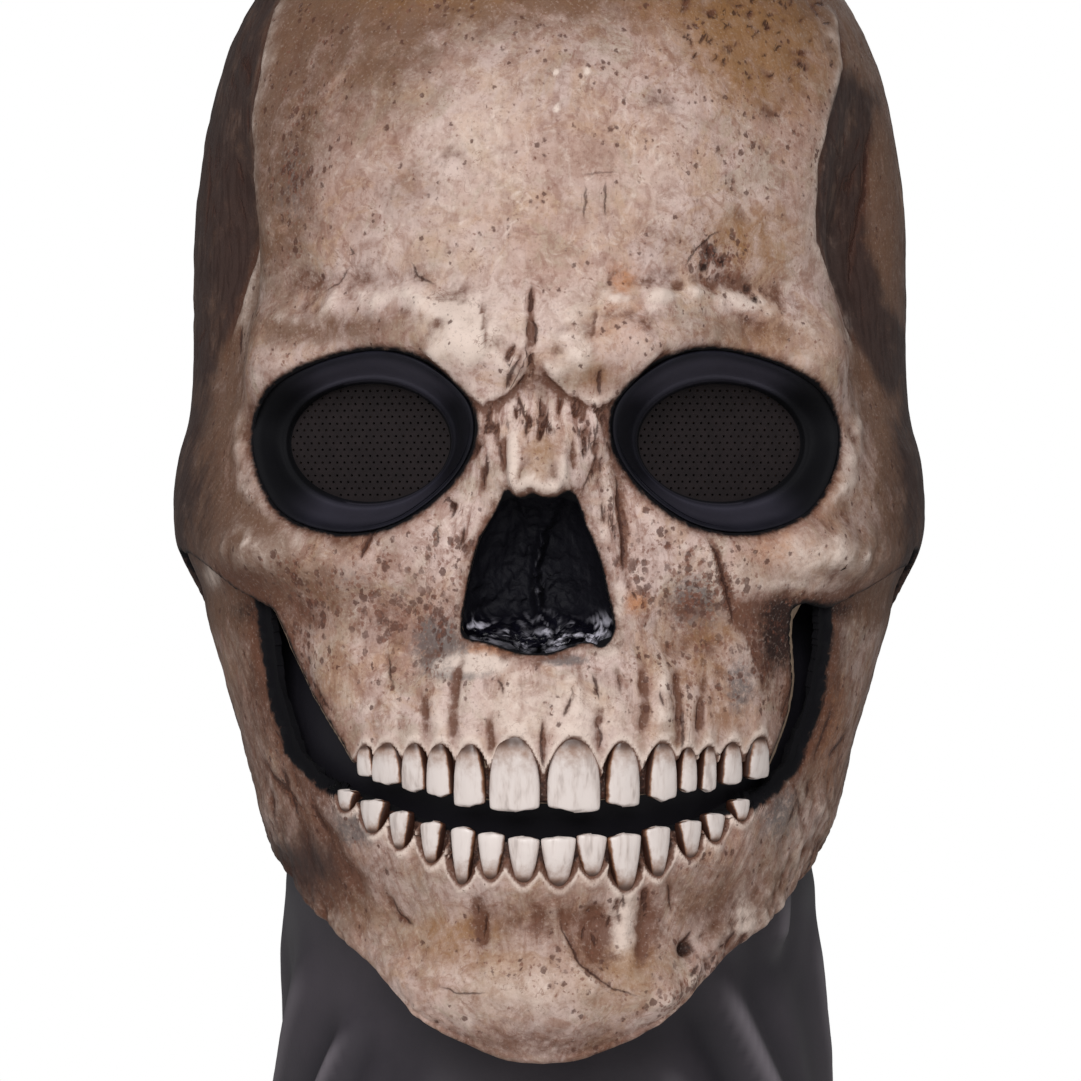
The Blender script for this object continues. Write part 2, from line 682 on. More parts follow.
def weld(obj, within=1e-6):
    setActive(obj)
    bpy.ops.object.mode_set(mode="EDIT")
    bpy.ops.mesh.select_all(action="SELECT")
    bpy.ops.mesh.remove_doubles(threshold=within)
    bpy.ops.object.mode_set(mode="OBJECT")


def thicken(obj, wall):
    setActive(obj)
    made = obj.modifiers.new("wall", "SOLIDIFY")
    made.thickness = wall * mm
    made.offset = -1.0
    bpy.ops.object.modifier_apply(modifier="wall")


def shadeSmooth(obj, angle=60.0):
    setActive(obj)
    bpy.ops.object.shade_smooth_by_angle(angle=math.radians(angle))


def finishPiece(obj, material, slot, *nodes):
    obj.data.materials.clear()
    obj.data.materials.append(material)
    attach(obj, "root")
    if nodes:
        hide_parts(*nodes)
    print(obj.name, len(obj.data.polygons), "faces")


# Teeth, from the viewer's left to right: side, width, biting edge down, gum or root down, kind

teethRows = {
    "upper": (
        (-46.9, 4.6, 249.3, 241.2, "molar"),
        (-41.0, 8.4, 251.2, 240.6, "molar"),
        (-33.6, 6.7, 253.0, 240.4, "premolar"),
        (-26.8, 6.9, 254.2, 240.6, "premolar"),
        (-18.9, 8.2, 256.6, 240.6, "incisor"),
        (-7.2, 13.2, 257.8, 238.6, "incisor"),
        (8.0, 13.8, 257.8, 238.6, "incisor"),
        (20.6, 8.8, 256.5, 239.8, "incisor"),
        (30.9, 7.8, 255.4, 239.8, "canine"),
        (37.7, 4.8, 253.2, 241.6, "premolar"),
        (43.2, 4.2, 253.2, 241.2, "premolar"),
        (49.5, 5.8, 251.5, 240.4, "molar"),
        (57.0, 6.0, 250.3, 239.0, "molar"),
    ),
    "lower": (
        (-52.6, 5.0, 252.9, 258.5, "molar"),
        (-45.2, 7.2, 255.2, 264.0, "molar"),
        (-37.7, 6.0, 258.0, 268.0, "premolar"),
        (-29.2, 6.2, 260.5, 271.6, "premolar"),
        (-21.2, 6.3, 261.7, 277.0, "canine"),
        (-13.6, 7.0, 263.2, 275.6, "incisor"),
        (-5.0, 8.3, 264.2, 276.4, "incisor"),
        (4.2, 9.2, 264.2, 277.2, "incisor"),
        (12.9, 7.9, 263.6, 274.8, "incisor"),
        (21.7, 8.8, 263.4, 278.6, "canine"),
        (30.0, 7.1, 261.8, 274.8, "premolar"),
        (38.6, 6.3, 260.4, 270.4, "premolar"),
        (45.1, 5.7, 258.8, 266.4, "molar"),
        (52.2, 5.0, 255.3, 261.2, "molar"),
    ),
    "halfRow": 61.0,  # the rows end inside this
}


def gumLine(side, rowName):
    # The scalloped edge of the bone: an arch over every tooth and a point between two.
    rows = teethRows[rowName]
    sides = np.array([row[0] for row in rows])
    widths = np.array([row[1] for row in rows])
    gums = np.array([row[3] for row in rows])
    nearest = np.argmin(np.abs(side[..., None] - sides) / widths, axis=-1)
    share = np.clip(np.abs(side - sides[nearest]) / (0.5 * widths[nearest] + 0.4), 0.0, 1.3)
    if rowName == "upper":
        drop = np.clip(0.72 * widths[nearest], 2.8, 9.0)
    else:
        drop = -np.clip(0.62 * widths[nearest], 2.4, 4.8)
    return gums[nearest] + drop * share**2.0


def biteLine(side, rowName, inset):
    rows = np.array([(row[0], row[2]) for row in teethRows[rowName]])
    return np.interp(side, rows[:, 0], rows[:, 1]) - inset


# Sculpted detail of the bone

boneDetail = {
    # name, rise, ramp, brightness, darkness below, then points; the left hand of one who walks them stands up
    "ledges": (
        ("left brow lobe", 2.3, 15.0, 0.08, 0.7, (-33, 136), (-25.5, 142.5), (-20.7, 148.4), (-15.6, 151.6),
         (-10.4, 149.4), (-5.6, 144.5), (-3.0, 139)),
        ("right brow lobe", 2.3, 15.0, 0.05, 0.7, (-1.2, 139), (1.6, 144), (7.6, 149.6), (14.6, 152.4),
         (19.6, 150), (24.8, 144), (33, 136)),
        ("left temple line", 1.8, 9.0, 0.06, 0.5, (-71, 34), (-75.3, 51.7), (-78.7, 73.7), (-76, 104),
         (-82.5, 125), (-88, 137)),
        ("right temple line", 1.9, 9.0, 0.08, 0.5, (86.5, 140), (78.5, 128), (71.8, 107), (72, 86.6),
         (79, 60),
         (78, 40)),
        ("tips of the nose bones", 1.6, 4.0, 0.5, 0.3, (-8.4, 171.5), (-6.2, 174.8), (-3.2, 172.8), (0, 175),
         (3.4, 174.4), (5.6, 171.5)),
        ("edge beside the right cheek", 0.8, 5.0, 0.1, 0.6, (58.6, 229), (55, 216), (50.4, 208), (46.4, 196),
         (43, 186.5)),
        ("chin hollow", 0.7, 7.0, 0.15, 0.4, (17, 304), (8.4, 296.5), (4.4, 286.5), (3.6, 280)),
    ),
    # name, half width, rise, then points
    "ridges": (
        ("left nose bone", 1.2, 1.3, (-7.8, 157.5), (-7.5, 163.3), (-7.2, 171), (-6.8, 174)),
        ("right nose bone", 1.2, 0.8, (5.8, 158), (5.6, 163.4), (5.2, 171), (4.6, 174)),
        ("left cheek arch", 5.0, 0.8, (-73, 185), (-84, 188.5), (-95, 186)),
        ("right cheek arch", 5.0, 1.2, (73, 188), (85, 191), (96, 188)),
        ("left edge of the orbit", 2.6, 0.8, (-82, 146), (-83, 158), (-80, 172), (-71, 184)),
        ("right edge of the orbit", 2.6, 1.0, (82, 146), (83, 158), (80, 172), (71, 184)),
        ("left brow arch", 3.8, 1.3, (-78, 133), (-68, 127.5), (-60, 126), (-52, 122.5), (-44, 123.5),
         (-36, 122),
         (-28, 126), (-21, 131)),
        ("right brow arch", 3.2, 1.6, (4, 122), (12, 125), (20, 122.5), (28, 124), (36, 121.5), (46, 123.5),
         (56, 124.5), (66, 129.5), (76, 137)),
        ("left swelling of the glabella", 4.0, 0.9, (-26, 124), (-22, 133), (-15, 140)),
        ("right swelling of the glabella", 4.0, 0.9, (6, 131), (9, 138), (14, 144)),
        ("chin rim left", 3.0, 1.2, (-46, 283), (-42, 296), (-33, 308), (-18, 316)),
        ("chin rim right", 2.4, 1.5, (54, 280), (48, 291), (38, 303), (24, 313)),
        ("jaw edge left", 4.0, 1.4, (-79, 248), (-70, 268), (-58, 286), (-44, 302)),
        ("jaw edge right", 4.0, 1.6, (79, 248), (70, 268), (60, 284), (48, 299)),
        ("root under the lower canine", 2.6, 1.3, (21, 281), (20.5, 288), (20, 296)),
        ("root over the left canine", 2.6, 0.7, (-27, 238), (-27.5, 226), (-28, 216)),
        ("root over the right canine", 2.6, 0.9, (31, 238), (31, 226), (30, 214)),
        ("left of the septum", 2.2, 0.8, (-8, 234), (-8.5, 226), (-6, 219)),
        ("right of the septum", 2.2, 0.8, (8, 234), (8, 226), (6, 219)),
    ),
    # name, half width, depth, then points; they are painted dark as well
    "grooves": (
        ("under the left eye", 0.8, 0.9, (-43.6, 181), (-46.3, 187), (-49, 193)),
        ("between the brows", 1.1, 1.3, (-2.6, 118), (-3.4, 128), (-3.0, 137), (-2, 147)),
        ("beside the nose right", 1.3, 0.9, (18.8, 166), (20.4, 180), (21.5, 192), (23.5, 203)),
        ("right cheek seam", 0.9, 0.6, (42, 184), (45.6, 191), (47, 196), (49, 205), (53, 216)),
        ("nose bone left", 0.8, 0.9, (-10.4, 157), (-10.2, 164), (-10, 171)),
        ("nose bone right", 0.8, 0.8, (8.4, 157), (8.2, 164), (8.2, 171)),
        ("right temple seam", 0.9, 0.8, (89.7, 68), (87.4, 80), (87, 92), (84.1, 104), (82.3, 115),
         (81, 125)),
        ("between the incisors", 0.8, 0.9, (0.4, 249), (0.3, 240), (0.0, 231)),
        ("groove over the left premolar", 1.6, 0.8, (-23.4, 245), (-23.6, 232), (-22.4, 221), (-20, 211)),
        ("groove over the left incisor", 1.2, 0.6, (-13.5, 245), (-14, 231)),
        ("groove over the left molars", 1.3, 0.5, (-30.4, 244), (-31, 232), (-32, 222)),
        ("groove over the right incisor", 1.3, 0.7, (15.5, 246), (14, 236), (16, 228)),
        ("groove over the right canine", 1.4, 0.9, (26, 245), (26.6, 230), (25.5, 214)),
        ("groove over the right premolar", 1.3, 0.9, (35, 245), (35.4, 231), (34, 217)),
        ("groove over the right molar", 1.2, 0.8, (41, 244), (41.5, 230), (43, 220)),
        ("under the lower incisors left", 1.6, 0.7, (-17, 279), (-16, 288), (-15.5, 295)),
        ("under the lower incisors", 1.5, 0.6, (-1.2, 279), (-1, 291)),
        ("under the lower canine", 2.0, 1.1, (13.5, 279), (13, 289), (14, 301)),
        ("right of the lower canine", 1.6, 1.0, (27, 280), (26, 290), (25, 303)),
        ("left fold over the chin", 1.2, 1.1, (-42, 279), (-40, 284), (-36, 288), (-33, 289)),
        ("left jaw crease", 2.4, 0.8, (-64, 250), (-60, 262), (-52, 275), (-42, 287)),
    ),
    # name, side, down, radius, depth
    "pits": (
        ("chin hole", 37.4, 294.3, 2.2, 3.0),
        ("over the right brow", 44.0, 111.0, 1.9, 0.7),
        ("over the right brow", 46.8, 113.8, 1.6, 0.6),
        ("over the right brow", 42.2, 114.9, 1.4, 0.5),
        ("right brow", 53.6, 120.5, 1.0, 0.7),
        ("right brow", 55.2, 123.6, 1.0, 0.7),
        ("wart", 3.3, 64.2, 0.9, -0.4),
        ("wart", 11.4, 63.9, 0.8, -0.3),
        ("wart", 3.6, 73.6, 0.8, -0.4),
        ("left of the nose", -23.5, 178.0, 1.1, 0.8),
    ),
    # name, side, down, half side, half down, count, lean in degrees from upright, length, depth
    "fibres": (
        ("root of the nose", 1.0, 155.0, 17.0, 4.0, 30, 2.0, 6.0, 0.7),
        ("left of the nose bones", -15.0, 163.0, 4.0, 8.0, 7, 6.0, 8.0, 0.5),
        ("right of the nose bones", 14.0, 163.0, 4.0, 8.0, 9, -5.0, 8.0, 0.5),
        ("left of the nose", -19.5, 180.0, 4.5, 20.0, 6, -12.0, 7.0, 0.25),
        ("right of the nose", 19.0, 182.0, 4.0, 20.0, 9, 10.0, 7.0, 0.3),
        ("over the teeth", 2.0, 227.0, 46.0, 7.0, 9, 0.0, 8.0, 0.25),
        ("left jaw", -66.0, 252.0, 8.0, 26.0, 16, 24.0, 12.0, 0.3),
        ("right jaw", 72.0, 250.0, 8.0, 28.0, 18, -22.0, 12.0, 0.35),
        ("under the lower teeth", 0.0, 286.0, 34.0, 6.0, 12, 0.0, 7.0, 0.3),
        ("right stain", 56.0, 50.0, 20.0, 14.0, 80, -52.0, 2.6, 0.2),
        ("between the brows", -6.0, 141.0, 4.0, 6.0, 7, -28.0, 5.0, 0.5),
        ("right chin", 46.0, 300.0, 9.0, 9.0, 16, -35.0, 3.6, 0.3),
        ("left temple", -92.0, 90.0, 12.0, 50.0, 26, 3.0, 9.0, 0.25),
        ("right temple", 80.0, 96.0, 6.0, 34.0, 12, 2.0, 9.0, 0.2),
    ),
    # name, half width of the line, then points; thin dark lines, drawn by the paint
    "cracks": (
        ("forehead", 0.22, (16.8, 91), (16.2, 97), (16.8, 104)),
        ("forehead drip", 0.2, (10.9, 92), (11.2, 98), (10.6, 105)),
        ("forehead level", 0.16, (8, 91.5), (14, 90.6), (22, 90.2)),
        ("forehead left", 0.24, (-36.4, 113.4), (-34, 114.6), (-32.9, 117.6), (-29, 119.4), (-27, 121.4)),
        ("over the left brow", 0.2, (-52, 108), (-50, 112), (-51.4, 116)),
        ("between the brows", 0.75, (-3.0, 118), (-3.2, 126), (-2.5, 134), (-3.4, 141), (-2.2, 147)),
        ("branch", 0.4, (-3.2, 128), (-1.6, 132), (-2.2, 137)),
        ("left of it", 0.6, (-5.6, 139), (-8.4, 143), (-9.8, 148)),
        ("left of that", 0.4, (-4.6, 143), (-6.6, 147)),
        ("right of it", 0.35, (15.2, 141), (14.4, 145), (14.8, 150)),
        ("under the left eye", 0.45, (-43.6, 181), (-46.3, 187), (-49, 193)),
        ("hook", 0.35, (-27.5, 178.2), (-25, 176), (-22.9, 178.2), (-24.6, 182.5)),
        ("hook below", 0.3, (-30, 186.5), (-28, 184), (-27.4, 189)),
        ("beside the nose", 0.4, (18.8, 166), (20.6, 184), (21.2, 194), (22.6, 199)),
        ("right cheek", 0.5, (42, 184.5), (45.6, 191), (47, 196), (49, 204), (50.4, 212)),
        ("right temple", 0.5, (89.7, 66), (87.4, 80), (87, 92), (84.1, 104), (81, 125)),
        ("chin", 0.3, (3.6, 281), (5, 289), (9.5, 297.5), (18, 304), (30, 308)),
        ("between the incisors", 0.3, (0.5, 249), (-0.4, 240), (0.2, 232)),
        ("over the right incisor", 0.25, (13.5, 233), (15.5, 238), (14.5, 243)),
        ("over the right canine", 0.3, (36.3, 229), (36.6, 236), (36.2, 244)),
        ("left chin", 0.3, (-41, 279.5), (-38, 286), (-33, 289)),
        ("chin level", 0.2, (-30, 303), (-22, 305.5), (-12, 305)),
        ("over the right brow", 0.22, (36, 118), (39, 112), (44, 107), (50, 104)),
        ("left brow", 0.2, (-60, 122), (-54, 119), (-50, 113)),
        ("temple left", 0.3, (-94, 70), (-93, 90), (-95, 110)),
    ),
    # paint, amount, softness of the edge, reach, then points; it lies on the right hand of the line
    "airbrush": (
        ("soot", 1.0, 5.0, 90.0, (-60, 12), (-68, 28), (-75.3, 51.7), (-78.7, 73.7), (-76, 104), (-82.5, 125),
         (-88, 137), (-92, 152)),
        ("soot", 1.0, 3.5, 15.0, (92, 152), (86.5, 140), (78.5, 128), (71.8, 107), (72, 86.6), (75, 66),
         (80, 54)),
    ),
    # side, down, half side, half down, amount
    "stains": {
        "tone": (
            (-60, 40, 30, 50, 0.5), (74, 30, 30, 40, 0.3), (-10, 40, 80, 14, 0.75), (-30, 115, 14, 6, 0.35),
            (-70, 90, 11, 40, 0.75), (70, 100, 7, 26, 0.4), (-54, 131, 24, 4.6, 0.75),
            (54, 132, 20, 4.4, 0.5), (16, 145, 14, 6, 0.5), (-20, 145, 8, 5, 0.3), (-40, 62, 16, 14, 0.45),
            (10, 88, 10, 12, 0.3), (-36, 96, 12, 9, 0.35), (4, 66, 22, 12, 0.3), (34, 108, 12, 8, 0.4),
            (-92, 150, 12, 50, 0.6), (94, 150, 12, 50, 0.5), (-60, 200, 26, 10, 0.55),
            (-80, 190, 14, 14, 1.2), (76, 192, 14, 10, 0.35), (93, 100, 8, 40, 0.5),
            (-50, 186, 16, 5, 0.35), (48, 208, 16, 14, 0.45), (-76, 240, 12, 40, 0.25),
            (76, 240, 12, 40, 0.2), (0, 285, 60, 16, 0.4), (48, 282, 18, 18, 0.4), (-50, 276, 18, 18, 0.4),
            (0, 322, 60, 8, 0.5),
        ),
        "wash": (
            (0, 153, 15, 5, -0.7), (-58, 279, 12, 8, 0.8), (30, 71, 6, 4, 0.5), (-82, 198, 10, 5, 0.7),
            (80, 203, 12, 4, 0.6), (56, 206, 9, 4, 1.1), (58, 218, 4, 10, 0.8), (0, 287, 12, 6, 0.55),
            (14, 290, 4.5, 9, 0.9), (28, 288, 3.5, 10, 0.75), (-16.5, 286, 3, 7, 0.7),
            (45, 283, 12, 10, 0.5), (-62, 262, 12, 14, 0.5), (76, 228, 6, 24, 0.5), (-78, 228, 6, 24, 0.55),
            (-60, 205, 12, 8, 0.45), (0, 318, 40, 5, 0.55),
        ),
        "soot": (
            (-66, 274, 12, 9, 1), (-96, 172, 9, 26, 0.7), (98, 172, 8, 26, 0.5),
        ),
        "ochre": (
            (0, 302, 46, 14, 0.4), (42, 232, 20, 18, 0.4), (58, 135, 20, 8, 0.45), (78, 176, 9, 16, 0.4),
            (57, 60, 19, 15, 0.95), (44, 45, 26, 9, 0.6), (54, 108, 14, 11, 0.75), (13, 143, 8, 5, 0.5),
            (-0.8, 164.5, 4.2, 6.5, 0.9), (42, 209, 10, 12, 0.6), (-22, 290, 12, 8, 0.6),
            (-55, 215, 12, 15, 0.35), (-30, 38, 34, 12, 0.55), (22, 298, 10, 7, 0.6),
        ),
        "deepWash": (
            (72, 205.5, 12, 3.4, 1), (-80, 206, 8, 4, 0.6), (62, 213, 5, 9, 1.1),
        ),
        "pale": (
            (64, 199, 12, 2, 0.5), (-17, 84, 20, 20, 0.42), (-30, 110, 24, 10, 0.25), (14, 104, 8, 8, 0.3),
            (-42, 124, 8, 3.4, 0.25), (-25, 126, 7, 4.4, 0.7), (-18, 134, 9, 7, 0.5),
            (30, 122.5, 8, 2.8, 0.25), (50, 124.5, 9, 2.2, 0.25), (8, 130, 8, 10, 0.5),
            (-18, 128, 12, 12, 0.35), (30, 88, 14, 16, 0.35), (2, 231, 24, 8, 0.6), (66, 193, 14, 6, 0.4),
            (0, 249, 50, 5, 0.25), (-17.5, 219, 8, 2.6, 1.7), (17, 214.6, 3.6, 2.6, 1.4),
            (19.4, 205, 1.6, 6, 1), (-22, 205, 1.4, 6, 0.7), (-1.5, 173.2, 6.6, 1.2, 1),
            (-7.6, 165, 1.3, 8, 1.3), (5.4, 171, 1.2, 4, 0.7), (20.5, 287, 3.6, 9, 1),
            (52, 287, 2.4, 8, 0.9), (-11, 181, 1.6, 7, 0.7), (16, 181, 1.6, 7, 0.6), (-3, 304, 18, 8, 0.5),
            (81, 129, 1.5, 3, 1), (-92.5, 196.5, 3, 4, 0.9), (-79, 160, 3, 14, 0.2), (80, 166, 3, 12, 0.35),
        ),
        "orange": (
            (21, 119, 4.5, 5, 0.8), (24.5, 203, 3.5, 3.5, 0.9), (62, 190, 12, 6, 0.45),
            (76, 236, 5, 18, 0.6), (-70, 232, 5, 18, 0.35), (20, 132, 16, 8, 0.35), (-14, 216, 7, 1.6, 1.5),
        ),
        "grey": (
            (-27, 214, 8, 8, 1.1), (40, 203, 9, 9, 0.75), (-50, 262, 9, 7, 0.8), (62, 258, 7, 12, 0.7),
            (-52, 196, 12, 7, 0.4), (52, 225, 5, 10, 0.7), (-67, 92, 6, 20, 0.45), (-19, 220.5, 9, 3, 0.9),
            (5, 218.2, 7, 1.6, 1.2),
        ),
        "pores": (
            (46, 209, 16, 22, 0.55), (-30, 205, 16, 20, 0.35), (55, 80, 24, 20, 0.15),
            (46, 113, 10, 8, 0.5), (40, 306, 16, 10, 0.5), (4, 300, 14, 8, 0.3), (-70, 215, 10, 30, 0.3),
            (-66, 90, 9, 30, 0.35), (-48, 204, 26, 16, 0.3), (24, 196, 9, 18, 0.4), (-30, 46, 50, 14, 0.2),
        ),
        "streak": (
            (2, 226, 50, 13, 0.45), (-18, 180, 9, 26, 0.75), (18, 182, 9, 26, 0.8), (0, 154, 18, 7, 0.8),
            (0, 287, 44, 10, 0.5), (-72, 236, 14, 36, 0.75), (74, 236, 14, 36, 0.85),
            (50, 272, 20, 14, 0.5), (-50, 272, 20, 14, 0.4), (-48, 206, 20, 18, 0.25),
            (44, 206, 18, 20, 0.35),
        ),
    },
    # down, spread of the bone's fibres; they fan out below the root of the nose
    "skullSpread": ((0.0, 1.0), (120.0, 1.0), (150.0, 1.0), (175.0, 1.2), (215.0, 1.8), (260.0, 1.85)),
    "jawSpread": ((180.0, 1.9), (240.0, 1.75), (285.0, 1.4), (325.0, 0.9)),
    "fibreStretch": 0.16,
    "lumpSize": 24.0,
    "lumpRise": 0.9,
    "rippleSize": 8.0,
    "rippleRise": 0.35,
    "grainSize": 2.4,
    "grainRise": 0.12,
    "seed": 11,
}


def faded(share, ends=0.16):
    return softStep(share, 0.0, ends) * softStep(1 - share, 0.0, ends)


def strokeNear(side, down, points, reach, facing):
    # The vertices near a line, so that the rest needn't be worked out.
    points = np.array(points)
    low = points.min(axis=0) - reach
    high = points.max(axis=0) + reach
    return facing & (side > low[0]) & (side < high[0]) & (down > low[1]) & (down < high[1])


def fibreLines():
    draw = random.Random(boneDetail["seed"])
    lines = []
    for _, side, down, halfSide, halfDown, count, lean, length, depth in boneDetail["fibres"]:
        for _ in range(count):
            angle = math.radians(lean + draw.gauss(0.0, 10.0))
            run = length * draw.uniform(0.6, 1.9)
            atSide = side + halfSide * draw.uniform(-1.0, 1.0)
            atDown = down + halfDown * draw.uniform(-1.0, 1.0)
            points = []
            for step in range(4):
                t = step / 3 - 0.5
                bend = draw.gauss(0.0, 0.25)
                points.append((atSide + math.sin(angle) * run * t + bend, atDown + math.cos(angle) * run * t))
            lines.append((draw.uniform(0.12, 0.42), depth * draw.uniform(0.5, 1.4), points))
    return lines


def fibreFlow(turn, down, spread):
    # Places across and along the fibres of the bone, in metres, for the paint.
    fan = smooth(*np.array(spread).T, down)
    return {"flowSide": turn * 100 * mm / fan, "flowDown": down * mm * boneDetail["fibreStretch"]}


def sculpt(side, down, points, facing, rowName, closed):
    # The rise of the detail in millimetres and the places that the paint reads.
    rise = np.zeros(side.shape)
    fields = {name: np.zeros(side.shape) for name in paintFields}
    fields["crackOffset"] = np.full(side.shape, 9.0)
    fields["crackWidth"] = np.zeros(side.shape)

    def at(line, reach):
        near = strokeNear(side, down, line, reach, facing)
        return near, alongLine(side[near], down[near], line)

    uneven = 1 + fractal(points, 7.0, 3, 8)
    for name, height, ramp, brightness, darkness, *line in boneDetail["ledges"]:
        near, (gap, offset, share, _, _) = at(line, 3 * ramp)
        standing = softStep(offset, -0.9, 1.1) * np.exp(-((gap / ramp) ** 2) * (offset > 0))
        rise[near] += height * standing * faded(share, 0.12)
        dark = np.exp(-(((offset + 0.8) / 1.0) ** 2)) * (gap < 4) * faded(share, 0.2)
        fields["wash"][near] += darkness * dark * uneven[near]
        bright = np.exp(-(((offset - 1.2) / 0.8) ** 2)) * (gap < 4) * faded(share, 0.3)
        fields["pale"][near] += brightness * bright * uneven[near]
    for name, width, height, *line in boneDetail["ridges"]:
        near, (gap, offset, share, _, _) = at(line, 3 * width)
        profile = np.exp(-((gap / width) ** 2)) * faded(share, 0.25) * uneven[near]
        rise[near] += height * profile
        fields["pale"][near] += 0.08 * height * profile
    for name, width, depth, *line in boneDetail["grooves"]:
        near, (gap, offset, share, _, _) = at(line, 4 * width)
        profile = np.exp(-((gap / width) ** 2)) * faded(share, 0.4) * uneven[near]
        rise[near] -= depth * profile
        fields["wash"][near] += 0.5 * profile
    for name, atSide, atDown, radius, depth in boneDetail["pits"]:
        gap = np.hypot(side - atSide, down - atDown) / radius
        profile = np.exp(-(gap**2.4)) * facing
        rise -= depth * profile
        fields["deepWash" if depth > 0 else "pale"] += 1.2 * profile
    for width, depth, line in fibreLines():
        near, (gap, offset, share, _, _) = at(line, 3.0)
        profile = np.exp(-((gap / 0.9) ** 2)) * faded(share, 0.35)
        rise[near] -= depth * profile
        fields["wash"][near] += 0.32 * profile
        strength = width * faded(share, 0.5) * np.exp(-((gap / 1.0) ** 4))
        nearest = gap < np.abs(fields["crackOffset"][near])
        fields["crackOffset"][near] = np.where(nearest, offset, fields["crackOffset"][near])
        fields["crackWidth"][near] = np.where(nearest, strength, fields["crackWidth"][near])
    for name, width, *line in boneDetail["cracks"]:
        near, (gap, offset, share, _, _) = at(line, 3.0)
        strength = width * faded(share, 0.35) * np.exp(-((gap / 1.6) ** 4))
        nearest = gap < 1.6
        fields["crackOffset"][near] = np.where(nearest, offset, fields["crackOffset"][near])
        fields["crackWidth"][near] = np.where(nearest, strength, fields["crackWidth"][near])
        rise[near] -= 0.6 * width * np.exp(-((gap / 0.8) ** 2)) * faded(share, 0.15)
    for paint, amount, edge, reach, *line in boneDetail["airbrush"]:
        near, (gap, offset, share, _, _) = at(line, reach + edge)
        spread = softStep(-offset, -0.3 * edge, edge) * softStep(reach - gap, -0.2 * reach, 0.2 * reach)
        fields[paint][near] += amount * spread * faded(share, 0.1)
    front = facing * softStep(10 - points[..., 1], 0.0, 36.0)
    for paint, blots in boneDetail["stains"].items():
        for atSide, atDown, halfSide, halfDown, amount in blots:
            blot = np.exp(-(((side - atSide) / halfSide) ** 2) - ((down - atDown) / halfDown) ** 2)
            fields[paint] += amount * blot * front

    # Ridges of the roots, in line with the teeth, and the step down to the gum behind them
    inRow = softStep(teethRows["halfRow"] - np.abs(side), 0.0, 3.0) * facing
    teeth = teethRows[rowName]
    way = 1.0 if rowName == "lower" else -1.0
    for toothSide, width, tip, gum, kind in teeth:
        length = 15.0 if kind in ("canine", "incisor") else 9.0
        along = way * (down - gum)
        profile = np.exp(-(((side - toothSide) / (0.42 * width)) ** 2)) * softStep(along, -1.0, 2.0)
        rise += 0.8 * profile * np.exp(-((along / length) ** 2)) * facing
    past = -way * (down - gumLine(side, rowName))
    near = np.exp(-(((past + 1.2) / 1.0) ** 2)) * inRow
    rise += 0.4 * near
    brightness = 0.16 if rowName == "upper" else 0.22
    fields["pale"] += brightness * uneven * np.exp(-(((past + 1.6) / 1.2) ** 2)) * inRow
    behind = softStep(past, -0.3, 1.1) * inRow
    fields["wash"] += 1.2 * np.exp(-(((past - 0.1) / 0.7) ** 2)) * inRow + behind
    fields["deepWash"] += 0.75 * softStep(past, 0.6, 2.4) * inRow
    fields["pale"] *= 1 - behind
    rise -= 2.4 * behind

    lumps = fractal(points, boneDetail["lumpSize"], 3, 1)
    ripples = fractal(points, boneDetail["rippleSize"], 3, 2)
    grain = fractal(points, boneDetail["grainSize"], 2, 3)
    calm = 0.35 + 0.65 * softStep(98 - np.abs(side), 0.0, 22.0)
    uneven = boneDetail["lumpRise"] * lumps + boneDetail["rippleRise"] * ripples
    uneven = uneven + boneDetail["grainRise"] * grain
    rise += calm * uneven
    whole = rise + reliefAt(side, down) * facing
    middle = softStep(94 - np.abs(side), 0.0, 14.0)
    for passes, gain in ((5, 1.1), (24, 0.6)):
        hollow = (blurred(rise, passes, closed) - rise) * middle
        fields["wash"] += gain * np.maximum(hollow - 0.03, 0.0)
        fields["pale"] += gain * 0.38 * np.maximum(-hollow - 0.03, 0.0)
    broad = (blurred(whole, 60, closed) - whole) * middle
    fields["wash"] += 0.3 * np.maximum(broad - 0.1, 0.0)
    fields["pale"] += 0.14 * np.maximum(-broad - 0.2, 0.0)
    return rise, fields


# The skull

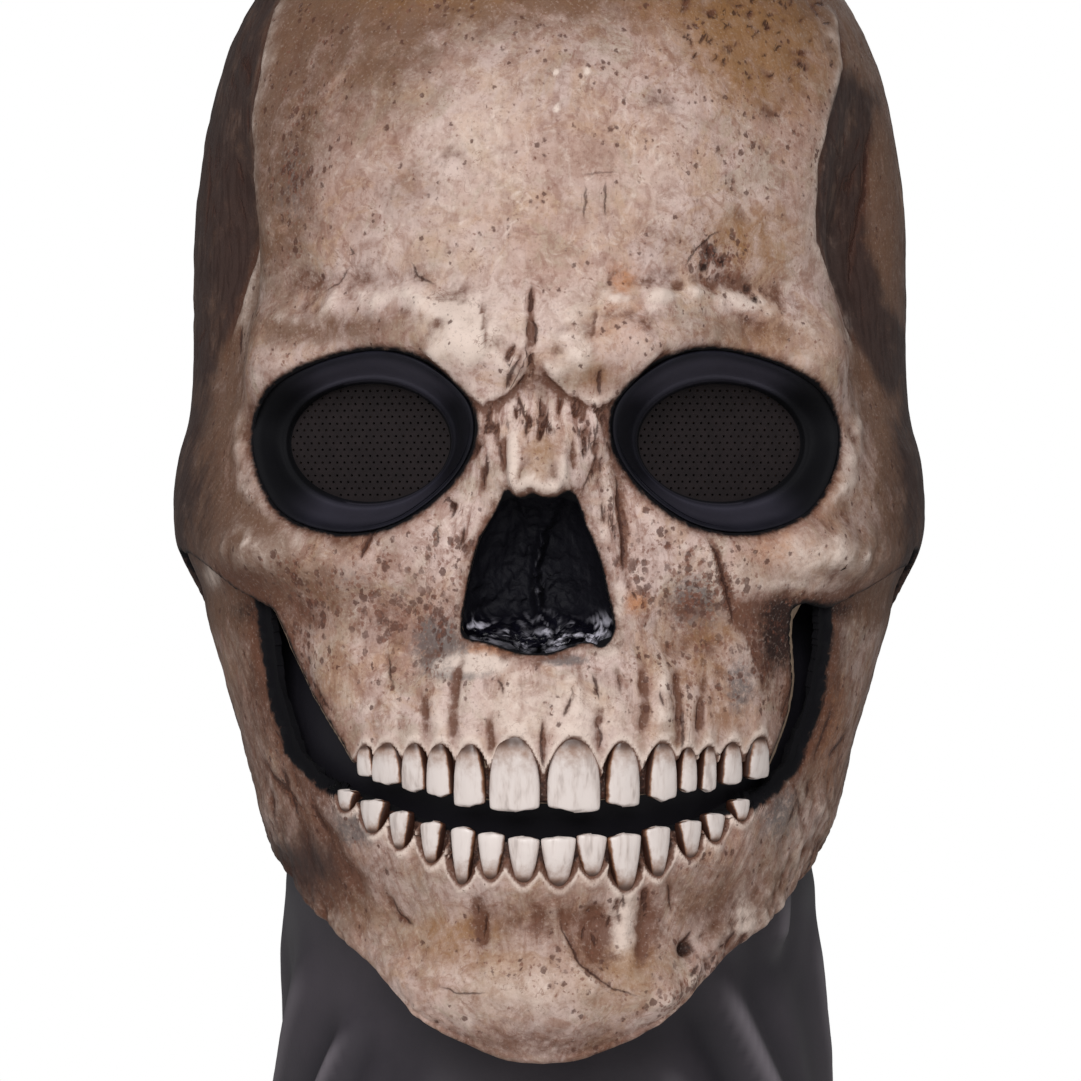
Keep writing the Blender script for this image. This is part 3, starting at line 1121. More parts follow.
skullShell = {
    "columns": 400,
    "crownRows": 80,
    "faceRows": 186,
    "crownDown": 60.0,
    "down": 258.0,
    "crowding": 0.6,
    "orbit": (
        (20.0, 150.0),
        (31.0, 140.5),
        (44.0, 137.0),
        (60.0, 140.0),
        (73.0, 147.0),
        (78.0, 158.0),
        (75.5, 171.0),
        (68.0, 180.5),
        (54.0, 184.8),
        (39.0, 182.5),
        (25.5, 173.0),
        (18.5, 161.5),
    ),
    "nose": (
        (-9.6, 174.0), (-7.6, 175.4), (-4.6, 175.8), (-2.4, 174.6), (-0.2, 175.4), (3.4, 175.6), (6.0, 174.4),
        (8.2, 174.8), (9.6, 178.5), (11.1, 182.9), (12.8, 186.8), (14.3, 190.4), (15.3, 194.0), (16.2, 198.0),
        (17.2, 202.0), (18.0, 205.6), (18.6, 209.6), (17.4, 213.2), (15.2, 214.6), (12.4, 213.6),
        (9.6, 213.9),
        (6.6, 214.9), (3.6, 216.0), (0.6, 216.6), (-3.2, 216.7), (-7.2, 216.0), (-11.2, 214.7),
        (-15.2, 213.5),
        (-19.0, 212.9), (-21.2, 211.2), (-21.2, 207.4), (-20.6, 203.8), (-20.1, 200.4), (-19.4, 197.0),
        (-18.2, 192.0), (-17.0, 187.8), (-15.2, 184.2), (-13.3, 181.0), (-11.4, 177.8),
    ),
    # lower edge from the left ear to the right one; the row of teeth lies between the two marked places
    "rimLeft": ((-130.0, 190.0), (-98.0, 191.0), (-92.0, 194.5), (-84.0, 200.5), (-76.0, 204.5),
                (-72.5, 206.5),
                (-68.0, 216.5), (-62.5, 228.0), (-54.5, 240.0), (-51.0, 246.0)),
    "rimRight": ((60.0, 247.0), (62.5, 241.0), (65.5, 233.0), (66.7, 224.0), (65.8, 212.0), (66.5, 205.0),
                 (70.0, 204.0), (76.0, 205.5), (87.0, 200.5), (97.0, 195.0), (130.0, 192.0)),
    "toothInset": 2.0,  # the gum behind the teeth ends this far above their tips
    "insideGrid": (220, 36, 110),
    "backRim": 218.0,
    "orbitRound": 2.4,  # radius of the rolled edges
    "noseRound": 0.9,
    "rimRound": 1.5,
    "wall": 3.0,
    "reach": 3.2,  # how far past an edge the sheet is gathered into its wall
}


def noseOutline():
    return closedCurve(skullShell["nose"], 156)


def orbitOutline(hand):
    return closedCurve(skullShell["orbit"], 120) * (hand, 1.0)


def skullRim():
    teeth = [(side, float(biteLine(side, "upper", skullShell["toothInset"]))) for side in range(-48, 59, 4)]
    return [*skullShell["rimLeft"], *teeth, *skullShell["rimRight"]]


def rolled(gap, radius):
    # How far the surface has sunk at this distance before an edge that is rounded to a radius.
    inside = np.clip(radius - gap, 0.0, radius)
    return radius - np.sqrt(np.maximum(radius**2 - inside**2, 0.0))


def rollOver(points, side, down, signed, nearSide, nearDown, radius, inward, reach, depth):
    # Rounds the sheet off before an edge and gathers what lies past it, up to its reach, into a wall.
    sunk = np.where(signed > 0, rolled(signed, radius), radius + np.clip(-signed / reach, 0.0, 1.0) * depth)
    past = signed < 0
    points[..., 0] += np.where(past, nearSide - side, 0.0)
    points[..., 2] += np.where(past, down - nearDown, 0.0)
    points += inward * sunk[..., None]
    return past & (signed < -reach)


def skullGrid(columns, crownRows, faceRows):
    # Turns and downs of a grid whose columns are closest together at the face.
    look = skullShell
    t = np.linspace(0.0, 1.0, crownRows, endpoint=False)
    crown = -3.0 + (look["crownDown"] + 3.0) * (1 - np.cos(t * math.pi / 2))
    downs = np.concatenate([crown, np.linspace(look["crownDown"], look["down"], faceRows)])
    u = (np.arange(columns) / columns * 2 - 1) * math.pi
    return np.meshgrid(u - look["crowding"] * np.sin(u), downs)


def openSkull(points, normal, turn, down, fields, wallShare):
    # Opens the sheet at the eyes, the nose and the lower edge, and tells which points lie past them.
    look = skullShell
    side = points[..., 0].copy()
    unwanted = np.zeros(side.shape, dtype=bool)
    backwards = np.zeros(points.shape)
    backwards[..., 1] = 1.0
    front = np.cos(turn) > 0
    ragged = 0.4 * fractal(points, 3.0, 3, 14)
    # outline, radius of its edge, depth of its wall, bead beside it, blackness, softness of the black,
    # raggedness
    openings = [(orbitOutline(hand), look["orbitRound"], 3.5, 0.4, 1.5, 2.0, 0.4) for hand in (-1, 1)]
    openings.append((noseOutline(), look["noseRound"], 3.0, 0.0, 1.5, 0.9, 1.0))
    for outline, radius, depth, beadRise, blackness, softness, roughShare in openings:
        near = strokeNear(side, down, outline, 16.0, front)
        gap, _, _, nearSide, nearDown = alongLine(side[near], down[near], outline, True)
        signed = np.where(insideOutline(side[near], down[near], outline), -gap, gap)
        place = points[near]
        bead = beadRise * np.exp(-(((signed - 4.2) / 2.2) ** 2))
        place = place + normal[near] * bead[:, None]
        unwanted[near] |= rollOver(place, side[near], down[near], signed, nearSide, nearDown,
            radius * wallShare,
                                   backwards[near], look["reach"], depth * wallShare)
        points[near] = place
        if fields:
            uneven = signed + ragged[near] * roughShare
            fields["black"][near] += blackness * softStep(-uneven, -softness, 0.5)
            fields["wash"][near] += 0.75 * np.exp(-((np.maximum(signed, 0) / 2.6) ** 2))

    rim = skullRim()
    around = np.degrees(np.abs(turn))
    gap, offset, _, nearSide, nearDown = alongLine(side, down, rim)
    signed = np.where(offset > 0, gap, -gap)
    level = 190.0 + (look["backRim"] - 190.0) * softStep(around, 84, 104)
    behind = (around > 78) | ~front
    signed = np.where(behind, level - down, signed)
    nearSide = np.where(behind, side, nearSide)
    nearDown = np.where(behind, level, nearDown)
    signed = np.where(down < 175, 50.0, signed)
    unwanted |= rollOver(points, side, down, signed, nearSide, nearDown, look["rimRound"] * wallShare,
        -normal,
                         look["reach"], look["wall"] * wallShare)
    if fields:
        cheek = softStep(np.abs(side), 46, 58) * front
        fields["black"] += 1.3 * softStep(-signed - ragged * 2, -1.0 - 1.2 * cheek, 0.8)
        fields["wash"] += 0.6 * np.exp(-((np.maximum(signed, 0) / 4.0) ** 2)) * (down > 190)
    return unwanted


def buildSkull(material):
    look = skullShell
    turn, down = skullGrid(look["columns"], look["crownRows"], look["faceRows"])
    points = headPoint(turn, down)
    side = points[..., 0].copy()
    facing = (np.cos(turn) > -0.05) & (down > 20)
    normal = normalsOf(points, True)
    normal[0] = (0, 0, 1)
    rise, fields = sculpt(side, down, points, facing, "upper", True)
    fields.update(fibreFlow(turn, down, boneDetail["skullSpread"]))
    rise *= softStep(down, 0.0, 20.0)
    points = points + normal * rise[..., None]

    # Dark airbrushing down the temples and round the back of the head
    around = np.degrees(np.abs(turn))
    lumps = fractal(points, 30.0, 3, 5)
    fields["soot"] += 0.75 * softStep(around + 8 * lumps, 72, 100) * softStep(190 - down, 0, 40)
    beside = softStep(around + 5 * lumps, 66, 80) * softStep(down, 140, 165)
    fields["soot"] += 0.8 * beside * softStep(226 - down, 0, 24)
    fields["soot"] = np.clip(fields["soot"], 0.0, 0.95)
    fields["tone"] += 0.6 * softStep(around, 40, 70)
    fields["tone"] += 0.45 * softStep(64 - down, 0, 40)
    fields["pores"] += 0.06
    fields["streak"] += 0.16
    fields["streak"] *= softStep(165 - around, 0.0, 20.0)
    unwanted = openSkull(points, normal, turn, down, fields, 1.0)

    shell, row, column = sheet("skull_shell_skin", points, True)
    addFields(shell, row, column, fields)
    removeVertices(shell, unwanted[row, column])
    weld(shell)
    shadeSmooth(shell, 75)
    finishPiece(shell, material, "bone_latex", "skull_shell")


def buildSkullInside(material):
    # The unpainted inner face, which meets the walls of the openings.
    look = skullShell
    turn, down = skullGrid(*look["insideGrid"])
    points = headPoint(turn, down)
    normal = normalsOf(points, True)
    normal[0] = (0, 0, 1)
    points = points - normal * look["wall"]
    unwanted = openSkull(points, normal, turn, down, None, 0.1)
    inside, row, column = sheet("skull_inside_face", points, True)
    removeVertices(inside, unwanted[row, column])
    weld(inside)
    inside.data.flip_normals()
    shadeSmooth(inside, 75)
    finishPiece(inside, material, "bone_latex")


# The lower jaw

lowerJaw = {
    "columns": 380,
    "rows": 118,
    "lipRows": 12,
    "lip": 2.0,  # radius of the rolled lower edge
    "turn": 91.0,
    # turn from the chin in degrees, down
    "top": ((0.0, 260.0), (25.0, 255.0), (36.0, 248.0), (44.0, 240.0), (49.0, 186.0), (91.0, 186.0)),
    "bottom": (
        (0.0, 322.0),
        (14.0, 320.5),
        (26.0, 315.0),
        (38.0, 304.0),
        (50.0, 292.0),
        (66.0, 279.0),
        (80.0, 270.0),
        (91.0, 263.0),
    ),
    "rimLeft": ((-130.0, 180.0), (-79.0, 186.0), (-78.0, 202.0), (-76.0, 214.0), (-73.2, 227.0),
                (-68.4, 243.0),
                (-60.0, 252.0), (-56.0, 253.5)),
    "rimRight": ((55.5, 257.0), (61.0, 253.5), (68.0, 246.0), (72.4, 232.0), (75.0, 216.0), (76.0, 202.0),
                 (77.0, 186.0), (130.0, 180.0)),
    "toothInset": -1.8,
    "wall": 2.0,
    "round": 1.5,
    "tuck": 2.0,  # the jaw's upper part lies this far under the skull's edge
}


def jawRim():
    teeth = [(side, float(biteLine(side, "lower", lowerJaw["toothInset"]))) for side in range(-52, 54, 4)]
    return [*lowerJaw["rimLeft"], *teeth, *lowerJaw["rimRight"]]


def buildJaw(material):
    look = lowerJaw
    turns = np.linspace(-look["turn"], look["turn"], look["columns"])
    top = np.interp(np.abs(turns), *np.array(look["top"]).T)
    bottom = smooth(*np.array(look["bottom"]).T, np.abs(turns))
    share = np.linspace(0.0, 1.0, look["rows"])[:, None]
    down = top + share * (bottom - top)
    turn = np.broadcast_to(np.radians(turns), down.shape)
    points = headPoint(turn, down)
    side = points[..., 0].copy()
    facing = np.ones(side.shape, dtype=bool)
    normal = normalsOf(points, False)
    rise, fields = sculpt(side, down, points, facing, "lower", False)
    around = np.degrees(np.abs(turn))
    tucked = softStep(212 - down, 0.0, 14.0) * softStep(around, 46, 52)
    rise -= look["tuck"] * tucked
    points = points + normal * rise[..., None]
    fields.update(fibreFlow(turn, down, boneDetail["jawSpread"]))
    fields["soot"] += 0.5 * softStep(around, 68, 90)
    fields["tone"] += 0.36 * softStep(around, 36, 60) + 0.5 * softStep(216 - down, 0, 14) * (around > 46)
    fields["pores"] += 0.08
    fields["streak"] += 0.16

    gap, offset, _, nearSide, nearDown = alongLine(side, down, jawRim())
    signed = np.where(offset > 0, -gap, gap)
    behind = (around > 80) | ((down < 200) & (around > 62))
    signed = np.where(behind, 50.0, signed)
    unwanted = rollOver(points, side, down, signed, nearSide, nearDown, look["round"], -normal, 3.2, 2.6)
    cheek = softStep(np.abs(side), 50, 60)
    ragged = 0.5 * fractal(points, 5.0, 2, 14)
    fields["black"] += 1.6 * softStep(-signed - ragged, -1.0 - 1.4 * cheek, 0.4)
    fields["wash"] += 0.7 * cheek * np.exp(-((np.maximum(signed, 0) / 4.0) ** 2))

    # The lower edge rolls inwards, row by row
    angle = np.radians(np.linspace(0.0, 165.0, look["lipRows"] + 1)[1:])[:, None, None]
    inward = -normal[-1] * (1, 1, 0)
    lip = points[-1] + look["lip"] * (inward * (1 - np.cos(angle)) + np.array((0, 0, -1.0)) * np.sin(angle))
    points = np.concatenate([points, lip])
    unwanted = np.concatenate([unwanted, np.zeros((look["lipRows"], look["columns"]), dtype=bool)])
    for name in fields:
        fields[name] = np.concatenate([fields[name], np.repeat(fields[name][-1:], look["lipRows"], axis=0)])

    jaw, row, column = sheet("jaw_skin", points, False, (0, -1, 0))
    addFields(jaw, row, column, fields)
    removeVertices(jaw, unwanted[row, column])
    weld(jaw)
    thicken(jaw, look["wall"])
    shadeSmooth(jaw, 75)
    finishPiece(jaw, material, "bone_latex", "jaw")


# Teeth

toothForm = {
    "columns": 36,
    "rows": 30,
    "thick": 5.0,
    "inset": 1.8,  # its middle lies this far inside the bone's surface
    # share of the way from the gum to the tip, share of the width, front bulge, thickness
    "upper": ((-0.3, 0.4, 0.5, 0.7), (0.0, 0.5, 0.75, 0.9), (0.1, 0.68, 0.92, 1.0), (0.28, 0.86, 1.04, 1.0),
              (0.5, 0.97, 1.02, 0.95), (0.75, 1.0, 0.96, 0.8), (0.9, 0.99, 0.86, 0.6),
              (1.0, 0.95, 0.72, 0.42)),
    "lower": ((-0.2, 0.36, 0.5, 0.6), (0.0, 0.46, 0.75, 0.8), (0.2, 0.62, 0.95, 0.95), (0.5, 0.82, 1.02, 1.0),
              (0.8, 0.96, 0.98, 0.85), (0.93, 0.99, 0.88, 0.6), (1.0, 0.96, 0.76, 0.42)),
    "grooveDepth": 0.16,
}


def buildTooth(name, rowName, entry, material):
    look = toothForm
    toothSide, width, tip, gum, kind = entry
    draw = random.Random(name)
    share = np.linspace(0.0, 1.0, look["rows"])
    lengthwise = np.interp(share, (0, 0.12, 0.85, 1), (-0.3 if rowName == "upper" else -0.2, 0.0, 0.93, 1.0))
    shares, widths, fronts, thicks = np.array(look[rowName]).T
    wide = smooth(shares, widths, lengthwise)
    front = smooth(shares, fronts, lengthwise)
    thick = smooth(shares, thicks, lengthwise)
    closing = np.sqrt(np.clip(1 - ((share - 0.85) / 0.15).clip(0, 1) ** 3, 0, 1))
    root = np.sqrt(np.clip(1 - (1 - share / 0.08).clip(0, 1) ** 2, 0, 1))
    angle = np.arange(look["columns"]) / look["columns"] * 2 * math.pi
    middle = facePoint(np.array([toothSide]), np.array([gum]))[0]
    ahead = facePoint(np.array([toothSide + 1.0]), np.array([gum]))[0] - middle
    along = np.array([ahead[0], ahead[1], 0.0])
    stretch = min(np.linalg.norm(along) / along[0], 1.7)
    along /= np.linalg.norm(along)
    inward = np.array([-along[1], along[0], 0.0])

    # Squared-off ovals, with two shallow grooves down the face
    cosine = np.cos(angle)
    sine = np.sin(angle)
    acrossShare = np.sign(cosine) * np.abs(cosine) ** 0.8
    deepShare = np.sign(sine) * np.abs(sine) ** 0.75
    across = 0.5 * width * stretch * (wide * closing * root)[:, None] * acrossShare
    bulge = np.where(deepShare < 0, front[:, None], thick[:, None] * 0.9)
    deep = look["inset"] + 0.5 * look["thick"] * bulge * (closing * root)[:, None] ** 0.7 * deepShare
    grooves = np.exp(-(((acrossShare - 0.34) / 0.16) ** 2)) + np.exp(-(((acrossShare + 0.34) / 0.16) ** 2))
    grooves = grooves * (deepShare < 0) * softStep(lengthwise, 0.2, 0.6)[:, None]
    deep += look["grooveDepth"] * width / 10 * grooves
    point = {"incisor": 0.2, "canine": 0.9, "premolar": 0.6, "molar": 0.4}[kind]
    point *= 1 if rowName == "upper" else 0.5
    slant = draw.uniform(-0.35, 0.35)
    down = gum + lengthwise * (tip - gum)
    edge = softStep(lengthwise, 0.55, 1.0)[:, None]
    wave = 0.12 * math.sqrt(width / 6) * np.sin(acrossShare * 5.5 + draw.uniform(0, 6))
    lift = edge * (point * np.abs(acrossShare) ** 1.4 + slant * acrossShare + wave)
    place = middle + along * across[..., None] + inward * deep[..., None]
    flat = facePoint(np.array([toothSide]), down)[:, 1] - middle[1]
    place[..., 1] += flat[:, None]
    way = 1.0 if rowName == "upper" else -1.0
    place[..., 2] = -(down[:, None] - way * lift)
    lumps = fractal(place, 3.0, 2, 7)
    place += inward * (0.12 * lumps * (closing * root)[:, None])[..., None]

    tooth, row, column = sheet(name, place, True)
    mesial = -np.sign(toothSide) if abs(toothSide) > 10 else 0.0
    flank = softStep(np.abs(acrossShare), 0.78, 1.0) * 0.55 + 0.5 * softStep(acrossShare * mesial, 0.45, 0.98)
    upwards = (1 - lengthwise.clip(0, 1))[:, None]
    outer = softStep(abs(toothSide), 10, 34)
    flank = flank * (0.45 + 0.6 * outer + 0.55 * upwards)
    fields = {
        "gum": np.broadcast_to((1 - lengthwise.clip(0, 1))[:, None], across.shape) ** 1.6,
        "flank": flank + 0.5 * softStep(deepShare, -0.2, 0.3),
    }
    addFields(tooth, row, column, fields)
    weld(tooth, 2e-6)
    shadeSmooth(tooth, 80)
    finishPiece(tooth, material, "tooth_enamel", name)


# Eye sockets and screens

eyeSocket = {
    "columns": 144,
    "lensSide": 46.6,
    "lensDown": 161.0,
    "lensHalfSide": 21.6,
    "lensHalfDown": 15.6,
    "lensDepth": -80.0,
    "lensSlant": 0.5,
    "seat": 2.0,
    "thick": 1.3,
    # share of the way in from the bone's edge to the lens, depth share, and a push outwards
    "profile": (
        (-0.05, 0.04, 0.0), (-0.01, 0.0, 0.0), (0.06, 0.01, 0.2), (0.16, 0.06, 0.3), (0.3, 0.17, 0.1),
        (0.44, 0.34, 0.0), (0.58, 0.54, 0.0), (0.7, 0.68, 0.2), (0.8, 0.74, 0.7), (0.87, 0.78, 0.8),
        (0.92, 0.86, 0.4), (0.96, 0.96, 0.1), (1.0, 1.05, 0.0),
    ),
}


def lensOutline(hand, count):
    look = eyeSocket
    first = skullShell["orbit"][0]
    start = math.atan2(
        (first[1] - look["lensDown"]) / look["lensHalfDown"],
        (first[0] - look["lensSide"]) / look["lensHalfSide"]
    )
    angles = start + np.arange(count) * 2 * math.pi / count
    side = look["lensSide"] + look["lensHalfSide"] * np.cos(angles)
    down = look["lensDown"] + look["lensHalfDown"] * np.sin(angles)
    return np.stack([side * hand, down], axis=-1)


def lensPlane(side, behind=0.0):
    return eyeSocket["lensDepth"] + eyeSocket["lensSlant"] * (np.abs(side) - eyeSocket["lensSide"]) + behind


def buildSocket(hand, word, material):
    look = eyeSocket
    count = look["columns"]
    rim = grown(closedCurve(skullShell["orbit"], count) * (hand, 1.0), -0.35)
    lens = lensOutline(hand, count)
    rimDepth = facePoint(rim[:, 0], rim[:, 1])[:, 1] + 1.2
    lensDepth = lensPlane(lens[:, 0])
    shares, depths, pushes = np.array(look["profile"]).T
    steps = np.linspace(0.0, 1.0, 64)
    marks = np.linspace(0.0, 1.0, len(shares))
    inShare = smooth(marks, shares, steps)[:, None]
    depthShare = smooth(marks, depths, steps)[:, None]
    push = smooth(marks, pushes, steps)[:, None]
    side = rim[:, 0] + inShare * (lens[:, 0] - rim[:, 0])
    down = rim[:, 1] + inShare * (lens[:, 1] - rim[:, 1])
    depth = rimDepth + depthShare * (lensDepth - rimDepth) - push
    points = np.stack([side, depth, -down], axis=-1)
    points[..., 1] += 0.35 * fractal(points, 9.0, 2, 4)
    outwards = (side - hand * look["lensSide"]) * hand / look["lensHalfSide"]
    upwards = (down - look["lensDown"]) / look["lensHalfDown"]
    tilt = np.hypot(outwards, upwards)
    level = softStep(np.abs(upwards) / tilt, 0.45, 0.95)
    fields = {
        "lit": (0.7 - 0.3 * (upwards > 0)) * level * softStep(inShare, 0.05, 0.4)
        * softStep(1 - inShare, 0.04, 0.3)
               + 0.5 * np.exp(-(((inShare - 0.9) / 0.025) ** 2)) * (outwards < 0.3),
        "shaded": np.clip(softStep(outwards / tilt, 0.4, 0.85) + softStep(inShare, 0.84, 0.98) * 0.6
                          + softStep(-outwards / tilt, 0.75, 0.98) * 0.4, 0.0, 1.0),
    }
    made, row, column = sheet("eye_socket_" + word, points, True, (0, -1, 0))
    addFields(made, row, column, fields)
    weld(made)
    thicken(made, look["thick"])
    shadeSmooth(made, 50)
    finishPiece(made, material, "socket_latex", "eye_socket_" + word)


eyeScreen = {
    "pitch": 2.0,  # between holes
    "web": 0.68,  # half width of the plastic between two holes
    "thick": 0.7,
    "frame": 1.6,  # solid edge round the holes
}


def buildScreen(hand, word, material):
    # A plate pierced with six-sided holes. Cells are laid side by side, inset, and their middles removed.
    look = eyeScreen
    lens = eyeSocket
    halfSide = lens["lensHalfSide"] + lens["seat"] - 0.4
    halfDown = lens["lensHalfDown"] + lens["seat"] - 0.4
    rowPitch = look["pitch"] * math.sqrt(3) / 2
    cells = []
    for rowIndex in range(-int(halfDown / rowPitch) - 1, int(halfDown / rowPitch) + 2):
        for place in range(-int(halfSide / look["pitch"]) - 2, int(halfSide / look["pitch"]) + 2):
            side = (place + 0.5 * (rowIndex % 2)) * look["pitch"]
            down = rowIndex * rowPitch
            reach = math.hypot(side / (halfSide - look["frame"]), down / (halfDown - look["frame"]))
            if reach < 1.0:
                cells.append((side, down))
    nothingSelected()
    corner = look["pitch"] / math.sqrt(3)
    bpy.ops.mesh.primitive_circle_add(vertices=6, radius=corner, fill_type="NGON")
    plate = bpy.context.object
    plate.name = "eye_mesh_" + word
    plate.data.name = plate.name
    bpy.ops.object.mode_set(mode="EDIT")
    for index, (side, down) in enumerate(cells):
        if index == 0:
            bpy.ops.mesh.select_all(action="SELECT")
            bpy.ops.transform.translate(value=(side, down, 0))
            previous = (side, down)
            continue
        bpy.ops.mesh.duplicate()
        bpy.ops.transform.translate(value=(side - previous[0], down - previous[1], 0))
        previous = (side, down)
    bpy.ops.mesh.select_all(action="SELECT")
    bpy.ops.mesh.remove_doubles(threshold=0.05)
    bpy.ops.mesh.select_mode(type="FACE")
    bpy.ops.mesh.inset(thickness=look["web"], use_individual=True)
    bpy.ops.mesh.delete(type="FACE")
    # The holes' outer border grows into a solid edge
    bpy.ops.mesh.select_mode(type="EDGE")
    bpy.ops.mesh.select_all(action="DESELECT")
    bpy.ops.object.mode_set(mode="OBJECT")
    mesh = plate.data
    uses = np.zeros(len(mesh.edges), dtype=int)
    edgeOf = {tuple(sorted(edge.vertices)): edge.index for edge in mesh.edges}
    for polygon in mesh.polygons:
        for key in polygon.edge_keys:
            uses[edgeOf[tuple(sorted(key))]] += 1
    places = np.array([vertex.co for vertex in mesh.vertices])
    rim = []
    for edge in mesh.edges:
        middle = places[list(edge.vertices)].mean(axis=0)
        reach = math.hypot(middle[0] / halfSide, middle[1] / halfDown)
        nearCell = min(math.hypot(middle[0] - side, middle[1] - down) for side, down in cells)
        rim.append(uses[edge.index] == 1 and nearCell > corner * 0.8 and reach > 0.5)
    mesh.edges.foreach_set("select", rim)
    bpy.ops.object.mode_set(mode="EDIT")
    bpy.ops.mesh.extrude_region_move()
    bpy.ops.object.mode_set(mode="OBJECT")
    for vertex in mesh.vertices:
        if vertex.select:
            reach = math.hypot(vertex.co.x / halfSide, vertex.co.y / halfDown)
            vertex.co.x /= reach
            vertex.co.y /= reach
    flat = np.array([vertex.co for vertex in mesh.vertices])
    side = hand * lens["lensSide"] + flat[:, 0]
    dome = 1.6 * (1 - (flat[:, 0] / halfSide) ** 2 - (flat[:, 1] / halfDown) ** 2)
    depth = lensPlane(side, 0.5) - dome * 0.35
    placed = np.stack([side, depth, -(lens["lensDown"] + flat[:, 1])], axis=-1) * mm
    mesh.vertices.foreach_set("co", placed.ravel())
    mesh.update()
    if sum(polygon.normal.y for polygon in mesh.polygons) > 0:
        mesh.flip_normals()
    thicken(plate, look["thick"])
    shadeSmooth(plate, 30)
    finishPiece(plate, material, "eye_screen", "eye_mesh_" + word)


# The nose cavity

noseCavity = {
    "columns": 132,
    "rows": 64,
    "rimOut": 0.8,  # its rim hides this far behind the bone's edge
    "rimBehind": 3.0,
    "backDepth": -93.0,
    "septumHalf": 1.3,
    "septumRise": 6.0,
    "lumpSize": 6.5,
    "lumpRise": 2.0,
    "floorRise": 7.0,
}


def buildNose(material):
    # A deep uneven cup that narrows to the back, with a thin wall down its middle and a lumpy floor that
    # looks wet.
    look = noseCavity
    rim = grown(closedCurve(skullShell["nose"], look["columns"]), look["rimOut"])
    centre = rim.mean(axis=0) + (0.0, 2.0)
    rimDepth = facePoint(rim[:, 0], rim[:, 1])[:, 1] + look["rimBehind"]
    step = np.linspace(0.0, 1.0, look["rows"])[:, None]
    shrink = 1 - step**1.5
    side = centre[0] + (rim[:, 0] - centre[0]) * shrink
    down = centre[1] + (rim[:, 1] - centre[1]) * shrink
    depth = rimDepth + (look["backDepth"] - rimDepth) * np.sin(step * math.pi / 2) ** 0.8
    points = np.stack([side, depth, -down], axis=-1)
    deep = softStep(step, 0.02, 0.22)
    lumps = fractal(points * (1, 0.5, 1), look["lumpSize"], 3, 9)
    ridged = 1 - np.abs(fractal(points, look["lumpSize"] * 0.7, 3, 12)) * 2
    lean = side + 0.9 + 1.3 * np.sin(down / 6.0)
    septum = np.exp(-((lean / look["septumHalf"]) ** 2)) * softStep(down, 176, 190)
    septum = septum * softStep(step, 0.35, 0.7)
    floor = softStep(down, 204.5, 213) * softStep(step, 0.05, 0.28)
    points[..., 1] -= deep * (look["lumpRise"] * lumps + look["septumRise"] * septum * (0.7 + 0.6 * lumps))
    points[..., 1] -= floor * (look["floorRise"] + 2.2 * ridged)
    points[..., 0] += 0.9 * deep * lumps
    points[..., 2] += 0.9 * deep * ridged
    glint = softStep(fractal(points * (1, 1, 1.7), 4.6, 3, 21), 0.05, 0.28)
    spark = softStep(fractal(points * (1.6, 1, 0.8), 3.0, 2, 22), 0.2, 0.5)
    fields = {
        "shaded": np.clip(1.0 - floor * 1.4 - 0.25 * septum, 0.0, 1.0),
        "lit": np.clip(glint * softStep(down, 204.5, 208.5) * softStep(step, 0.03, 0.1)
                       * softStep(0.55 - step, 0.0, 0.2)
                       + 0.6 * spark * np.exp(-((side / 6.0) ** 2)) * softStep(down, 188, 194), 0.0, 1.0),
    }
    made, row, column = sheet("nose_cavity", points, True, (0, -1, 0))
    addFields(made, row, column, fields)
    weld(made)
    thicken(made, 1.2)
    shadeSmooth(made, 70)
    finishPiece(made, material, "gloss_latex", "nose_cavity")


# The hood

hoodForm = {
    # down, depth of its widest place, half width, front, back
    "sections": (
        (188.0, -9.0, 98.9, -82.0, 83.9),
        (195.0, -10.5, 96.1, -83.0, 79.8),
        (203.0, -12.0, 92.2, -84.0, 76.0),
        (214.0, -14.0, 88.2, -87.0, 71.0),
        (225.0, -14.0, 84.6, -98.0, 68.0),
        (240.0, -14.0, 80.6, -107.0, 68.0),
        (257.0, -14.0, 75.4, -107.0, 68.0),
        (270.0, -8.0, 72.3, -100.0, 68.0),
        (284.0, 4.0, 74.0, -82.0, 70.0),
        (300.0, 6.0, 74.5, -72.0, 72.0),
        (330.0, 6.0, 76.5, -70.0, 76.0),
        (368.0, 4.0, 79.0, -76.0, 80.0),
    ),
    "columns": 220,
    "rows": 150,
    "wall": 1.4,
    "hem": 1.1,
    # turn in degrees and down where a fold starts and ends, half width in degrees, rise
    "folds": (
        (-42.0, 312.0, -66.0, 366.0, 3.0, 2.4),
        (-58.0, 296.0, -86.0, 350.0, 6.0, 1.4),
        (-20.0, 322.0, -34.0, 372.0, 6.0, 1.3),
        (34.0, 296.0, 64.0, 362.0, 4.0, 2.8),
        (62.0, 262.0, 58.0, 292.0, 4.0, 2.2),
        (20.0, 318.0, 42.0, 372.0, 6.0, 1.4),
        (78.0, 285.0, 96.0, 350.0, 7.0, 2.0),
        (-96.0, 282.0, -112.0, 350.0, 7.0, 2.0),
        (124.0, 262.0, 136.0, 340.0, 8.0, 2.0),
        (-134.0, 262.0, -146.0, 344.0, 8.0, 2.0),
        (170.0, 270.0, 176.0, 350.0, 8.0, 1.8),
    ),
}


